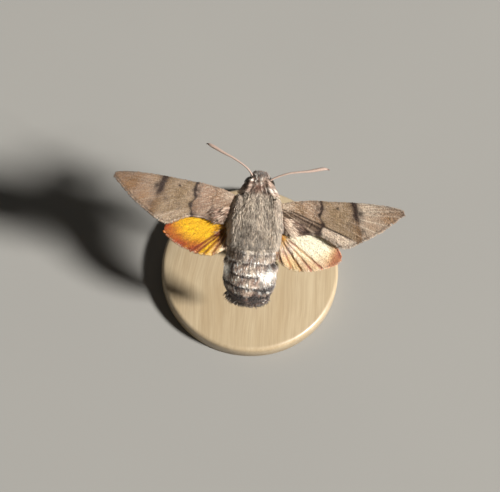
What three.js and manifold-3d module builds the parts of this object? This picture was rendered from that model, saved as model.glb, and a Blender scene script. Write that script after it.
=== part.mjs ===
// A hummingbird hawk moth (Macroglossum stellatarum) at life size, hovering with its wings spread at
// mid-stroke and its abdomen curled down, held by a rod over a round display base.
// Millimetres, +Z up. The head points towards -Y and the moth's left side is +X.
// The origin is the centre of the base's underside.
import * as THREE from "three";
import { mergeVertices } from "three/addons/utils/BufferGeometryUtils.js";
import Module from "manifold-3d";

const wasm = await Module();
wasm.setup();

// ---------------------------------------------------------------- driving dimensions

const GAP = 0.12; // clearance between neighbouring pieces
const PITCH = 26; // degrees that the thorax points above the horizon
const THORAX_AT = { y: 1.5, z: 26 }; // the thorax's middle, over the base

const HEAD_END = 2.9; // lengths along the spine, from the front of the head
const COLLAR_END = 4.3;
const THORAX_MIDDLE = 7.26;
const THORAX_END = 11.1;
const SEGMENT_LENGTHS = [2.2, 1.8, 1.8, 1.6, 1.6, 1.3, 1.2]; // the seven rings of the abdomen
const RING_FLARE = 0.028; // how much wider each ring's back rim is, as a share

const BODY_SIDES = 24; // facets round the body
const BALL_FACETS = [12, 9]; // round and down an eye, a palp or a wing-root tuft
const FEELER_SIDES = 6;
const LEG_FACETS = [2, 5]; // down a leg's joint and round the leg

// The spine's heading, in degrees below straight back, against length along it: the head is bent down,
// the thorax is straight and the abdomen curls under.
const HEADING = [
  [0, -28],
  [4.5, -2],
  [11, 5],
  [17, 38],
  [21, 58],
  [26.5, 62],
];

// The body's outline with its coat: half width, height above the spine and depth below it.
const HALF_WIDTH = [
  [0, 0.5],
  [0.15, 0.95],
  [0.4, 1.35],
  [0.8, 1.75],
  [1.6, 2.2],
  [2.4, 2.75],
  [3.2, 3.35],
  [4.2, 3.9],
  [5.6, 4.35],
  [7.4, 4.65],
  [9.5, 4.6],
  [11.9, 4.4],
  [14, 4.3],
  [16.5, 4.2],
  [18.4, 4.15],
  [20, 3.7],
  [21.6, 3.05],
  [22.6, 2.45],
];
const TOP = [
  [0, 0.4],
  [0.15, 0.8],
  [0.4, 1.1],
  [0.8, 1.45],
  [1.6, 1.95],
  [2.4, 2.35],
  [3.2, 2.85],
  [4.2, 3.4],
  [5.6, 3.95],
  [7.4, 4.35],
  [9.5, 4.3],
  [11.9, 3.8],
  [14, 3.55],
  [16.5, 3.4],
  [18.4, 3.2],
  [20, 2.85],
  [21.6, 2.3],
  [22.6, 1.8],
];
const BELLY = [
  [0, 0.5],
  [0.15, 0.95],
  [0.4, 1.3],
  [0.8, 1.6],
  [1.6, 1.95],
  [2.4, 2.2],
  [3.2, 2.6],
  [4.2, 3.2],
  [5.6, 3.8],
  [7.4, 4.15],
  [9.5, 4.0],
  [11.9, 3.5],
  [14, 3.2],
  [16.5, 3.05],
  [18.4, 2.85],
  [20, 2.5],
  [21.6, 2.0],
  [22.6, 1.6],
];

// Wing outlines in each wing's own plane: x runs out from the root and y runs forward.
const FOREWING = {
  length: 20.8,
  lead: [
    [0, 1.2],
    [1.3, 1.8],
    [5.5, 2.1],
    [8.5, 1.85],
    [13.4, 1.45],
    [17.8, 0.8],
    [20, 0.25],
    [20.8, -0.1],
  ],
  trail: [
    [0, -1.5],
    [1.2, -2.7],
    [2.8, -3.1],
    [5, -2.9],
    [7.6, -3.4],
    [9.6, -4.7],
    [10.7, -5.35],
    [11.9, -5.2],
    [14.3, -4.25],
    [17, -3.0],
    [19.2, -1.55],
    [20.8, -0.5],
  ],
  thickness: [
    [0, 0.8],
    [3, 0.6],
    [20.8, 0.5],
  ],
  camber: 0.012,
  steps: [18, 6],
};
const HINDWING = {
  length: 11.9,
  lead: [
    [0, 0.8],
    [2.5, 1.4],
    [6, 1.7],
    [9, 1.3],
    [10.9, 0.55],
    [11.9, -0.35],
  ],
  trail: [
    [0, -1.5],
    [1.0, -3.0],
    [2.2, -4.1],
    [3.6, -4.8],
    [5, -5.0],
    [7, -4.5],
    [9, -3.5],
    [10.8, -2.2],
    [11.6, -1.35],
    [11.9, -0.9],
  ],
  thickness: [
    [0, 0.6],
    [11.9, 0.5],
  ],
  camber: 0.006,
  steps: [11, 12],
};

// How each wing is held: its root in the body's frame, then angles in degrees. Sweep is forward, dihedral
// is up, twist tips the leading edge down by the tip, and crease bends down what lies behind the fold.
// Pleat is the depth of the hindwing's fan folds.
const WINGS = {
  left: {
    side: 1,
    fore: { root: [3.0, 1.8, 1.9], sweep: 10, dihedral: 14, twist: 9, crease: 4, pleat: 0 },
    hind: { root: [3.0, -0.3, 0.85], sweep: -9, dihedral: 13, twist: 6, crease: 0, pleat: 0.16 },
  },
  right: {
    side: -1,
    fore: { root: [3.1, 1.1, 1.9], sweep: 8.5, dihedral: 12, twist: 7, crease: 9, pleat: 0 },
    hind: { root: [3.1, -0.8, 0.7], sweep: -15, dihedral: 10, twist: 0, crease: 0, pleat: 0.3 },
  },
};
const CREASE = { from: 1.6, slope: -0.5 }; // the forewing's fold runs back across it on this line
const PLEATS = 6.5; // fan folds in a half turn about the hindwing's root
const PLEATED_FROM = [0.1, 0.8]; // radians behind the leading edge where the folds begin and are full
const PLEAT_REACH = 5; // distance from the root where the folds are full
const TIP_RISE = 0.7; // how far a wing's tip bends up

const EYE = { s: 1.5, aside: 1.5, up: 0.1, radii: [1.0, 1.15, 1.2] };
const PALP = { aside: 0.86, radii: [0.54, 1.5, 0.85], tilt: 52, at: [-6.45, -2.25] };
const COIL = { inner: 0.36, pitch: 0.62, turns: 2.04, radius: 0.25, at: [-5.75, -4.55], stepsPerTurn: 18 };
const COIL_SPLIT = 1.05; // the turn where the rolled proboscis is parted in two
const TEGULA = { at: [3.4, -1.85, 2.15], radii: [0.7, 2.3, 1.2], roll: 36, yaw: 12 };

// The antennae, from the brow to the hooked tip: [aside, forward, up] in the body's frame. They are spread
// wide and the moth's right one trails a little.
const ANTENNAE = {
  left: [
    [0.95, 6.3, 0.1],
    [1.4, 7.25, 0.4],
    [2.4, 8.3, 0.6],
    [4.6, 9.55, 0.65],
    [6.2, 10.2, 0.5],
    [8.3, 11.15, 0.1],
    [8.95, 11.45, -0.15],
  ],
  right: [
    [0.95, 6.2, 0.1],
    [2.2, 6.95, 0.4],
    [4.3, 7.95, 0.6],
    [6.1, 8.4, 0.5],
    [7.85, 8.75, 0.3],
    [10.0, 9.35, 0],
    [10.8, 9.35, -0.2],
  ],
};
const ANTENNA_STEPS = 16;
const ANTENNA_RADIUS = [
  [0, 0.27],
  [0.5, 0.29],
  [0.84, 0.39],
  [0.95, 0.29],
  [1, 0.2],
];

// Legs by joint: [length along the spine, distance aside, depth under the belly, radius].
const LEGS = {
  front: [
    [5.7, 1.05, -0.35, 0.5],
    [3.7, 1.2, 0.55, 0.46],
    [5.5, 2.15, 0.6, 0.36],
    [7.2, 1.95, 0.5, 0.28],
  ],
  middle: [
    [8.2, 2.2, -0.35, 0.55],
    [6.6, 3.15, 0.35, 0.48],
    [9.3, 3.3, 0.3, 0.38],
    [11.9, 3.0, 0.5, 0.28],
  ],
  hind: [
    [10.3, 1.3, -0.35, 0.55],
    [9.2, 2.2, 0.75, 0.48],
    [13.4, 2.1, 0.65, 0.38],
    [17.2, 1.7, 0.45, 0.28],
  ],
};

// The tail fan: how far each of its lines stands aside at the root and at the tip, and the fan's length,
// its thickness at root and tip, and how much its outer scales are thinner and shorter than its middle ones.
const FAN = {
  lines: [
    [-2.1, -2.9],
    [-0.85, -1.15],
    [0.85, 1.15],
    [2.1, 2.9],
  ],
  length: 3.5,
  thick: [3.0, 0.6],
  thinning: 0.05,
  rounding: 0.022,
};

const BASE = { radius: 15, height: 3, bevel: 0.7, sides: 40 };
const ROD = { radius: 0.65, y: -0.9, sides: 16 };

// ---------------------------------------------------------------- colours

const finish = (color, roughness, metalness = 0) =>
  new THREE.MeshStandardMaterial({ color, roughness, metalness });
const COAT = finish(0x857868, 0.9);
const COAT_DARK = finish(0x55463a, 0.9);
const COAT_PALE = finish(0xcfc4b2, 0.9);
const FORE_SCALES = finish(0x8a7461, 0.8);
const HIND_SCALES = finish(0xe39a34, 0.75);
const EYE_LENS = finish(0x2c2118, 0.2);
const ANTENNA_BROWN = finish(0x5b4a3c, 0.6);
const TONGUE_BROWN = finish(0x4a3020, 0.45);
const LEG_SCALES = finish(0x9c8d7b, 0.85);
const BASE_WOOD = finish(0xcbb08a, 0.5);
const ROD_METAL = finish(0xb9b4a8, 0.3, 1);

// ---------------------------------------------------------------- helpers

const rad = THREE.MathUtils.degToRad;
const lerp = THREE.MathUtils.lerp;

// A smooth curve through [x, y] points: a cubic between each two, level with its neighbours' slope.
function through(points) {
  const slope = points.map((_, i) => {
    const [x0, y0] = points[Math.max(0, i - 1)];
    const [x1, y1] = points[Math.min(points.length - 1, i + 1)];
    return (y1 - y0) / (x1 - x0);
  });
  return (x) => {
    const last = points.length - 2;
    let i = 0;
    while (i < last && x > points[i + 1][0]) i += 1;
    const [x0, y0] = points[i];
    const [x1, y1] = points[i + 1];
    const wide = x1 - x0;
    const t = THREE.MathUtils.clamp((x - x0) / wide, 0, 1);
    const [t2, t3] = [t * t, t * t * t];
    return (
      (2 * t3 - 3 * t2 + 1) * y0 +
      (t3 - 2 * t2 + t) * wide * slope[i] +
      (3 * t2 - 2 * t3) * y1 +
      (t3 - t2) * wide * slope[i + 1]
    );
  };
}

// Moves every vertex of a three.js geometry to place(x, y, z).
function mapped(geometry, place) {
  const position = geometry.attributes.position;
  for (let i = 0; i < position.count; i += 1) {
    const p = place(position.getX(i), position.getY(i), position.getZ(i));
    position.setXYZ(i, p.x, p.y, p.z);
  }
  return geometry;
}

// A geometry as a manifold-3d solid, with its faces turned out if the mapping mirrored it.
function solid(geometry) {
  const bare = geometry.clone();
  bare.deleteAttribute("normal");
  bare.deleteAttribute("uv");
  const merged = mergeVertices(bare, 1e-4);
  const triVerts = new Uint32Array(merged.index.array);
  const mesh = { numProp: 3, vertProperties: merged.attributes.position.array, triVerts };
  const made = new wasm.Manifold(new wasm.Mesh(mesh));
  if (made.volume() > 0) return made;
  for (let i = 0; i < triVerts.length; i += 3) {
    [triVerts[i + 1], triVerts[i + 2]] = [triVerts[i + 2], triVerts[i + 1]];
  }
  return new wasm.Manifold(new wasm.Mesh(mesh));
}

// The largest single body of a solid less the others, because a cut can leave crumbs.
function cut(from, ...others) {
  const left = others.reduce((rest, other) => rest.subtract(other), from);
  return left.decompose().reduce((a, b) => (b.volume() > a.volume() ? b : a));
}

const joined = (solids) => solids.reduce((a, b) => a.add(b));

function mesh(name, shape, material) {
  const { vertProperties, triVerts, numProp } = shape.getMesh();
  const points = new Float32Array((vertProperties.length / numProp) * 3);
  for (let i = 0; i < points.length / 3; i += 1) {
    points.set(vertProperties.subarray(i * numProp, i * numProp + 3), i * 3);
  }
  const geometry = new THREE.BufferGeometry();
  geometry.setAttribute("position", new THREE.BufferAttribute(points, 3));
  geometry.setIndex(new THREE.BufferAttribute(triVerts, 1));
  geometry.computeVertexNormals();
  const made = new THREE.Mesh(geometry, material);
  made.name = name;
  return made;
}

// ---------------------------------------------------------------- body frame

// The spine lies in the plane x = 0 of the body's frame, whose origin is the thorax's middle.
// It is summed in short steps from its heading.
const SPINE_STEP = 0.05;
const heading = through(HEADING);
const spineTable = [{ y: 0, z: 0 }];
for (let s = 0; s < HEADING.at(-1)[0]; s += SPINE_STEP) {
  const { y, z } = spineTable.at(-1);
  const angle = rad(heading(s + SPINE_STEP / 2));
  spineTable.push({ y: y + SPINE_STEP * Math.cos(angle), z: z - SPINE_STEP * Math.sin(angle) });
}
const spineOrigin = spineTable[Math.round(THORAX_MIDDLE / SPINE_STEP)];

function spine(s) {
  const at = THREE.MathUtils.clamp(s / SPINE_STEP, 0, spineTable.length - 1.001);
  const [a, b] = [spineTable[Math.floor(at)], spineTable[Math.floor(at) + 1]];
  const share = at - Math.floor(at);
  const angle = rad(heading(s));
  return {
    point: new THREE.Vector3(
      0,
      lerp(a.y, b.y, share) - spineOrigin.y,
      lerp(a.z, b.z, share) - spineOrigin.z,
    ),
    up: new THREE.Vector3(0, Math.sin(angle), Math.cos(angle)),
    back: new THREE.Vector3(0, Math.cos(angle), -Math.sin(angle)),
  };
}

// A point in the body's frame, aside and up from the spine at s.
function beside(s, aside, up) {
  const at = spine(s);
  return at.point.addScaledVector(at.up, up).add(new THREE.Vector3(aside, 0, 0));
}

const halfWidth = through(HALF_WIDTH);
const top = through(TOP);
const belly = through(BELLY);

// A length of the body between two places on the spine. Flare makes its back rim wider than its front.
function bodyLength(from, to, rings, { grow = 0, flare = 0, ease = 1 } = {}) {
  return mapped(new THREE.CylinderGeometry(1, 1, 1, BODY_SIDES, rings), (x, y, z) => {
    const along = 0.5 - y;
    const s = lerp(from - grow, to + grow, along ** ease);
    const swell = 1 + flare * (2 * along - 1);
    const height = z > 0 ? top(s) : belly(s);
    return beside(s, x * (halfWidth(s) * swell + grow), z * (height * swell + grow));
  });
}

// ---------------------------------------------------------------- head

function ellipsoid(radii, grow, place) {
  const ball = mapped(new THREE.SphereGeometry(1, ...BALL_FACETS), (x, y, z) => {
    const p = new THREE.Vector3(x * (radii[0] + grow), y * (radii[1] + grow), z * (radii[2] + grow));
    return place(p);
  });
  return solid(ball);
}

function eye(side, grow = 0) {
  const at = spine(EYE.s);
  const centre = beside(EYE.s, side * EYE.aside, EYE.up);
  return ellipsoid(EYE.radii, grow, (p) => {
    const aside = centre.clone().add(new THREE.Vector3(p.x, 0, 0));
    return aside.addScaledVector(at.back, p.y).addScaledVector(at.up, p.z);
  });
}

function head(grow = 0) {
  const skull = solid(bodyLength(0, HEAD_END, 7, { grow, ease: 1.5 }));
  return grow ? skull : cut(skull, eye(1, GAP), eye(-1, GAP));
}

function palp(side) {
  const turn = new THREE.Matrix4().makeRotationX(rad(-PALP.tilt));
  const centre = new THREE.Vector3(side * PALP.aside, PALP.at[0], PALP.at[1]);
  return cut(
    ellipsoid(PALP.radii, 0, (p) => p.applyMatrix4(turn).add(centre)),
    head(GAP),
    eye(side, GAP),
  );
}

// A round tube along a curve in three.js, closed at both ends, with its radius given by share of length.
function tube(curve, radiusAt, steps) {
  return mapped(new THREE.CylinderGeometry(1, 1, 1, FEELER_SIDES, steps), (x, y, z) => {
    const along = 0.5 - y;
    const tangent = curve.getTangent(along);
    const across = new THREE.Vector3(1, 0, 0).addScaledVector(tangent, -tangent.x).normalize();
    const other = tangent.clone().cross(across);
    const radius = radiusAt(along);
    return curve.getPoint(along).addScaledVector(across, x * radius).addScaledVector(other, z * radius);
  });
}

// The antenna thickens to a club near its end, which hooks to a point.
function antenna(points, side) {
  const curve = new THREE.CatmullRomCurve3(points.map(([x, y, z]) => new THREE.Vector3(side * x, -y, z)));
  return cut(solid(tube(curve, through(ANTENNA_RADIUS), ANTENNA_STEPS)), head(GAP), eye(side, GAP));
}

// The proboscis is rolled up in the plane x = 0. Turn 0 is its middle.
class Coil extends THREE.Curve {
  constructor(fromTurn, toTurn) {
    super();
    this.fromTurn = fromTurn;
    this.toTurn = toTurn;
  }

  getPoint(t) {
    const turn = lerp(this.fromTurn, this.toTurn, t);
    const radius = COIL.inner + COIL.pitch * turn;
    const angle = turn * 2 * Math.PI;
    return new THREE.Vector3(
      0,
      COIL.at[0] + radius * Math.sin(angle),
      COIL.at[1] + radius * Math.cos(angle),
    );
  }
}

function coil(fromTurn, toTurn) {
  const steps = Math.round((toTurn - fromTurn) * COIL.stepsPerTurn);
  return solid(tube(new Coil(fromTurn, toTurn), () => COIL.radius, steps));
}

// ---------------------------------------------------------------- thorax and abdomen

const thorax = (grow = 0) => solid(bodyLength(COLLAR_END + GAP, THORAX_END, 7, { grow }));
const collar = (grow = 0) => solid(bodyLength(HEAD_END + GAP, COLLAR_END, 3, { grow }));

// The tuft of long scales that roofs the forewing's root.
function tegula(side, grow = 0) {
  const turn = new THREE.Matrix4()
    .makeRotationZ(rad(-side * TEGULA.yaw))
    .multiply(new THREE.Matrix4().makeRotationY(rad(-side * TEGULA.roll)));
  const centre = new THREE.Vector3(side * TEGULA.at[0], TEGULA.at[1], TEGULA.at[2]);
  const lobe = ellipsoid(TEGULA.radii, grow, (p) => p.applyMatrix4(turn).add(centre));
  return grow ? lobe : cut(lobe, thorax(GAP), collar(GAP));
}

const ringEnd = (i) => SEGMENT_LENGTHS.slice(0, i + 1).reduce((a, b) => a + b, THORAX_END);
const ABDOMEN_END = ringEnd(SEGMENT_LENGTHS.length - 1);

const ring = (i) => solid(bodyLength(ringEnd(i - 1) + GAP, ringEnd(i), 2, { flare: RING_FLARE }));

// Collar, thorax and abdomen in one, grown to keep the wings and legs clear of them.
const trunk = solid(bodyLength(HEAD_END, ABDOMEN_END, 14, { grow: 2 * GAP }));

// One lobe of the tail fan, between two of its lines.
function fanLobe(inner, outer) {
  return mapped(new THREE.BoxGeometry(1, 1, 1, 4, 5, 1), (x, y, z) => {
    const [across, along] = [x + 0.5, y + 0.5];
    const aside = lerp(lerp(inner[0], outer[0], across), lerp(inner[1], outer[1], across), along);
    const s = ABDOMEN_END + GAP + FAN.length * along * (1 - FAN.rounding * aside * aside);
    const rootThinning = 1 - FAN.thinning * aside * aside * (1 - along);
    return beside(s, aside, z * lerp(...FAN.thick, along ** 0.75) * rootThinning);
  });
}

// ---------------------------------------------------------------- legs

const legJoint = ([s, aside, depth]) => {
  const drop = belly(s) * Math.sqrt(1 - (aside / halfWidth(s)) ** 2);
  return (side) => beside(s, side * aside, -drop - depth);
};

// A leg is a chain of capsules that taper from joint to joint.
function leg(joints, side) {
  const pieces = joints.slice(1).map((joint, i) => {
    const from = legJoint(joints[i])(side);
    const along = legJoint(joint)(side).sub(from);
    const length = along.length();
    const turn = new THREE.Quaternion().setFromUnitVectors(
      new THREE.Vector3(0, 1, 0),
      along.clone().normalize(),
    );
    const capsule = new THREE.CapsuleGeometry(joint[3], length, ...LEG_FACETS);
    return solid(
      mapped(capsule, (x, y, z) => {
        const share = THREE.MathUtils.clamp(y / length + 0.5, 0, 1);
        const swell = lerp(joints[i][3] / joint[3], 1, share);
        return new THREE.Vector3(x * swell, y + length / 2, z * swell).applyQuaternion(turn).add(from);
      }),
    );
  });
  return joined(pieces);
}

// ---------------------------------------------------------------- wings

// The height of a wing's sheet over its flat plane, in the wing's own x and y.
function rise(shape, hold, x, y) {
  const out = x / shape.length;
  const twisted = -y * Math.tan(rad(hold.twist * out));
  const cambered = -shape.camber * y * y * (1 - out / 2) + TIP_RISE * out * out;
  const creased = -Math.max(0, CREASE.from + CREASE.slope * x - y) * Math.tan(rad(hold.crease));
  const turn = Math.atan2(-y, x);
  const reach = Math.min(1, Math.hypot(x, y) / PLEAT_REACH);
  const fold = (1 - Math.cos(2 * PLEATS * turn)) / 2;
  const pleated = -hold.pleat * fold * reach * THREE.MathUtils.smoothstep(turn, ...PLEATED_FROM);
  return twisted + cambered + creased + pleated;
}

function wing(shape, hold, side, grow = 0) {
  const [lead, trail] = [through(shape.lead), through(shape.trail)];
  const thickness = through(shape.thickness);
  const [cosSweep, sinSweep] = [Math.cos(rad(hold.sweep)), Math.sin(rad(hold.sweep))];
  const [cosUp, sinUp] = [Math.cos(rad(hold.dihedral)), Math.sin(rad(hold.dihedral))];
  const [rootOut, rootForward, rootUp] = hold.root;
  const box = new THREE.BoxGeometry(1, 1, 1, shape.steps[0], shape.steps[1], 1);
  const sheet = mapped(box, (across, chord, layer) => {
    const x = shape.length * (across + 0.5);
    const y = lerp(trail(x) - grow, lead(x) + grow, chord + 0.5);
    const z = rise(shape, hold, x, y) + layer * (thickness(x) + 2 * grow);
    const out = x * cosSweep - y * sinSweep;
    const forward = x * sinSweep + y * cosSweep;
    return new THREE.Vector3(
      side * (rootOut + out * cosUp - z * sinUp),
      -(rootForward + forward),
      rootUp + out * sinUp + z * cosUp,
    );
  });
  return solid(sheet);
}

// ---------------------------------------------------------------- assembly

const moth = new THREE.Group();
moth.rotation.x = rad(-PITCH);
moth.position.set(0, THORAX_AT.y, THORAX_AT.z);

moth.add(mesh("head", head(), COAT));
moth.add(mesh("collar", collar(), COAT));
moth.add(mesh("thorax", thorax(), COAT));
SEGMENT_LENGTHS.forEach((_, i) => {
  moth.add(mesh(`abdomen_${i + 1}`, ring(i), i < 4 ? COAT : COAT_DARK));
});
["right", "middle", "left"].forEach((place, i) => {
  const inner = FAN.lines[i].map((v) => v + GAP / 2);
  const outer = FAN.lines[i + 1].map((v) => v - GAP / 2);
  moth.add(mesh(`tail_fan_${place}`, solid(fanLobe(inner, outer)), COAT_DARK));
});
moth.add(mesh("proboscis_inner", coil(0, COIL_SPLIT), TONGUE_BROWN));
moth.add(mesh("proboscis_outer", cut(coil(COIL_SPLIT + GAP / 6, COIL.turns), head(GAP)), TONGUE_BROWN));

for (const [place, { side, fore, hind }] of Object.entries(WINGS)) {
  const roof = tegula(side, GAP);
  const forewing = cut(wing(FOREWING, fore, side), trunk, roof);
  const hindwing = cut(wing(HINDWING, hind, side), wing(FOREWING, fore, side, GAP), trunk, roof);
  moth.add(mesh(`forewing_${place}`, forewing, FORE_SCALES));
  moth.add(mesh(`hindwing_${place}`, hindwing, HIND_SCALES));
  moth.add(mesh(`tegula_${place}`, tegula(side), COAT));
  moth.add(mesh(`eye_${place}`, eye(side), EYE_LENS));
  moth.add(mesh(`palp_${place}`, palp(side), COAT_PALE));
  moth.add(mesh(`antenna_${place}`, antenna(ANTENNAE[place], side), ANTENNA_BROWN));
  for (const [which, joints] of Object.entries(LEGS)) {
    moth.add(mesh(`leg_${which}_${place}`, cut(leg(joints, side), trunk), LEG_SCALES));
  }
}

// The base is a round plinth with a bevelled edge, and the rod stops just under the thorax.
const plinth = new THREE.LatheGeometry(
  [
    [0, 0],
    [BASE.radius - BASE.bevel / 2, 0],
    [BASE.radius, BASE.bevel / 2],
    [BASE.radius, BASE.height - BASE.bevel],
    [BASE.radius - BASE.bevel, BASE.height],
    [0, BASE.height],
  ].map(([x, y]) => new THREE.Vector2(x, y)),
  BASE.sides,
).rotateX(Math.PI / 2);

moth.updateMatrixWorld(true);
const thoraxLength = bodyLength(COLLAR_END, THORAX_END, 7, { grow: GAP });
const thoraxInPlace = solid(thoraxLength.applyMatrix4(moth.matrixWorld));
const rodFoot = BASE.height + GAP;
const rodLength = THORAX_AT.z - rodFoot;
const rod = solid(
  new THREE.CylinderGeometry(ROD.radius, ROD.radius, rodLength, ROD.sides)
    .rotateX(Math.PI / 2)
    .translate(0, ROD.y, rodFoot + rodLength / 2),
);

const model = new THREE.Group();
model.add(moth);
model.add(mesh("stand_base", solid(plinth), BASE_WOOD));
model.add(mesh("stand_rod", cut(rod, thoraxInPlace), ROD_METAL));

export default model;
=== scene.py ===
# %% [markdown]
# # A hummingbird hawk moth, hovering on a display stand
#
# This lesson dresses a small frame of plain solids as a real moth: a furry body, four wings covered with
# scales, big dark eyes, clubbed antennae and a rolled tongue. The frame gives every part's place and size,
# and each piece made here stays with the part that it stands for.
#
# A moth is soft in a way that no smooth surface shows, because every part of it is covered with scales: long
# hair-like ones on the thorax, short flat ones on the wings. So the work has two halves. First come bare
# skins and wing sheets that follow the frame. Then tens of thousands of tiny solid scales are laid over them,
# all of them rows in a few joined meshes.

# %% The frame and the modules
import math

import bmesh
import bpy
import numpy as np
from mathutils import Matrix, Vector


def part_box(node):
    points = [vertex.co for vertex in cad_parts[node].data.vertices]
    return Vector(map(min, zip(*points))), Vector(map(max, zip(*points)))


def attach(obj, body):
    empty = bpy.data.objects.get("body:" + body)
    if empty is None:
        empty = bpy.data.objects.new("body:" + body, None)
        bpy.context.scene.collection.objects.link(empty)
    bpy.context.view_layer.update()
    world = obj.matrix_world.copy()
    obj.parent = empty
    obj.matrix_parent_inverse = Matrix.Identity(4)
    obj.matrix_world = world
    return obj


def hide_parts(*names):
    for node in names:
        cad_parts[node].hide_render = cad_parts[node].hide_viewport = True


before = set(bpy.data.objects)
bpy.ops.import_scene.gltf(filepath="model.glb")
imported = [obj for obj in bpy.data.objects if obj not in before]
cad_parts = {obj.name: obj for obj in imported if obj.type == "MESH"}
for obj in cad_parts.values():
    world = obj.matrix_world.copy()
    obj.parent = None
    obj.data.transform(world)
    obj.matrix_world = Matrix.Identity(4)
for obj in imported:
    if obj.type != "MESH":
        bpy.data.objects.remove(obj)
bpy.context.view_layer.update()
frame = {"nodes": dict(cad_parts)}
scene = bpy.context.scene
print("parts in the frame:", len(frame["nodes"]))

# %% [markdown]
# ## One way to say where things are
#
# Everything is worked out in millimetres and turned to metres at the last moment. The moth has a frame of
# its own, in which the thorax lies level with its head towards -Y, and one function carries points from
# there to the world. Its spine is a line down the middle that droops at the head and curls under at the
# tail. Any place on the body is then two numbers, like a street address: how far along the spine, and how
# far round from the back.

# %% Millimetres, smooth curves and the moth's own frame
MM = 0.001
PITCH = math.radians(26)  # the thorax points this far above the horizon
THORAX_AT = np.array([0.0, 1.5, 26.0])  # mm, the thorax's middle over the stand
THORAX_MIDDLE = 7.26  # mm along the spine
print("the thorax's middle is", THORAX_AT[2], "mm over the floor")

# %% Smooth curves, steps, hills and ripples
WAVES = 6  # how many waves add up to a ripple


def curve(points):
    """A smooth function through [x, y] points."""
    xs, ys = np.array(points, float).T
    slope = np.gradient(ys, xs)
    slope[1:-1] = (ys[2:] - ys[:-2]) / (xs[2:] - xs[:-2])

    def at(x):
        x = np.clip(np.asarray(x, float), xs[0], xs[-1])
        i = np.clip(np.searchsorted(xs, x, side="right") - 1, 0, len(xs) - 2)
        wide = xs[i + 1] - xs[i]
        t = (x - xs[i]) / wide
        ends = (2 * t**3 - 3 * t**2 + 1) * ys[i] + (3 * t**2 - 2 * t**3) * ys[i + 1]
        return ends + wide * ((t**3 - 2 * t**2 + t) * slope[i] + (t**3 - t**2) * slope[i + 1])

    return at


def smooth(low, high, x):
    """0 below low, 1 above high and an S-shaped slope between."""
    t = np.clip((x - low) / (high - low), 0, 1)
    return t * t * (3 - 2 * t)


def hill(x, centre, width):
    """1 at the centre, about a third half a width away, and nearly 0 one width away."""
    return np.exp(-4 * ((x - centre) / width) ** 2)


def ripple(seed, size, *coords):
    """Smooth random waves of about that size in mm, from -1 to 1."""
    rng = np.random.default_rng(seed)
    total = 0
    for _ in range(WAVES):
        direction = rng.normal(size=len(coords)) * 2 / size
        total = total + np.sin(sum(c * d for c, d in zip(coords, direction)) + rng.uniform(0, 6.28))
    return total * 2 / WAVES


print("a hill half a width from its middle:", round(float(hill(0.5, 0, 1)), 2))

# %% From the moth's own frame to the world


def to_world(aside, back, up):
    """Points of the moth's frame, in mm, as rows of world points in metres."""
    y = back * math.cos(PITCH) + up * math.sin(PITCH)
    z = up * math.cos(PITCH) - back * math.sin(PITCH)
    return (np.stack([aside + 0 * y, y, z], axis=-1) + THORAX_AT) * MM


print("10 mm behind the thorax's middle is", np.round(to_world(0.0, 10.0, 0.0) / MM, 1), "mm in the world")

# %% The body's heading and outline by spine length, in mm, coat included
HEADING = curve([[0, -28], [4.5, -2], [11, 5], [17, 38], [21, 58], [26.5, 62]])  # degrees below straight back
HALF_WIDTH = curve([
    [0, 0.5], [0.15, 0.95], [0.4, 1.35], [0.8, 1.75], [1.6, 2.2], [2.4, 2.75], [3.2, 3.35], [4.2, 3.9],
    [5.6, 4.35], [7.4, 4.65], [9.5, 4.6], [11.9, 4.4], [14, 4.3], [16.5, 4.2], [18.4, 4.15], [20, 3.7],
    [21.6, 3.05], [22.6, 2.45],
])
TOP = curve([
    [0, 0.4], [0.15, 0.8], [0.4, 1.1], [0.8, 1.45], [1.6, 1.95], [2.4, 2.35], [3.2, 2.85], [4.2, 3.4],
    [5.6, 3.95], [7.4, 4.35], [9.5, 4.3], [11.9, 3.8], [14, 3.55], [16.5, 3.4], [18.4, 3.2], [20, 2.85],
    [21.6, 2.3], [22.6, 1.8],
])
BELLY = curve([
    [0, 0.5], [0.15, 0.95], [0.4, 1.3], [0.8, 1.6], [1.6, 1.95], [2.4, 2.2], [3.2, 2.6], [4.2, 3.2],
    [5.6, 3.8], [7.4, 4.15], [9.5, 4.0], [11.9, 3.5], [14, 3.2], [16.5, 3.05], [18.4, 2.85], [20, 2.5],
    [21.6, 2.0], [22.6, 1.6],
])
COAT_DEPTH = curve([
    [0, 0.18], [0.8, 0.3], [2.4, 0.4], [3.6, 0.7], [6, 0.9], [10.5, 0.75], [12, 0.5], [19, 0.4], [22.6, 0.4],
])
RING_ENDS = np.array([11.1, 13.3, 15.1, 16.9, 18.5, 20.1, 21.4, 22.6])  # where the thorax and each ring end
RING_FLARE = 0.028  # how much each ring's back rim is wider, as a share
BODY_END = 22.6
SPINE_END = 26.5  # mm, near the tail fan's tips
print("body", BODY_END, "mm long, with", len(RING_ENDS) - 1, "rings behind the thorax")

# %% The spine: a line of points, each one small step further along its heading
SPINE_STEP = 0.05
spine_length = np.arange(0, SPINE_END + SPINE_STEP, SPINE_STEP)
spine_angle = np.radians(HEADING(spine_length[:-1] + SPINE_STEP / 2))
spine_back = np.concatenate([[0], np.cumsum(SPINE_STEP * np.cos(spine_angle))])
spine_up = -np.concatenate([[0], np.cumsum(SPINE_STEP * np.sin(spine_angle))])
spine_back -= np.interp(THORAX_MIDDLE, spine_length, spine_back)
spine_up -= np.interp(THORAX_MIDDLE, spine_length, spine_up)
print("spine points:", len(spine_length))

# %% Places on the body


def beside_spine(s, aside, up):
    """A place in the moth's frame, as (aside, back, up), beside the spine at length s."""
    angle = np.radians(HEADING(s))
    back = np.interp(s, spine_length, spine_back) + up * np.sin(angle)
    return aside, back, np.interp(s, spine_length, spine_up) + up * np.cos(angle)


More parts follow.
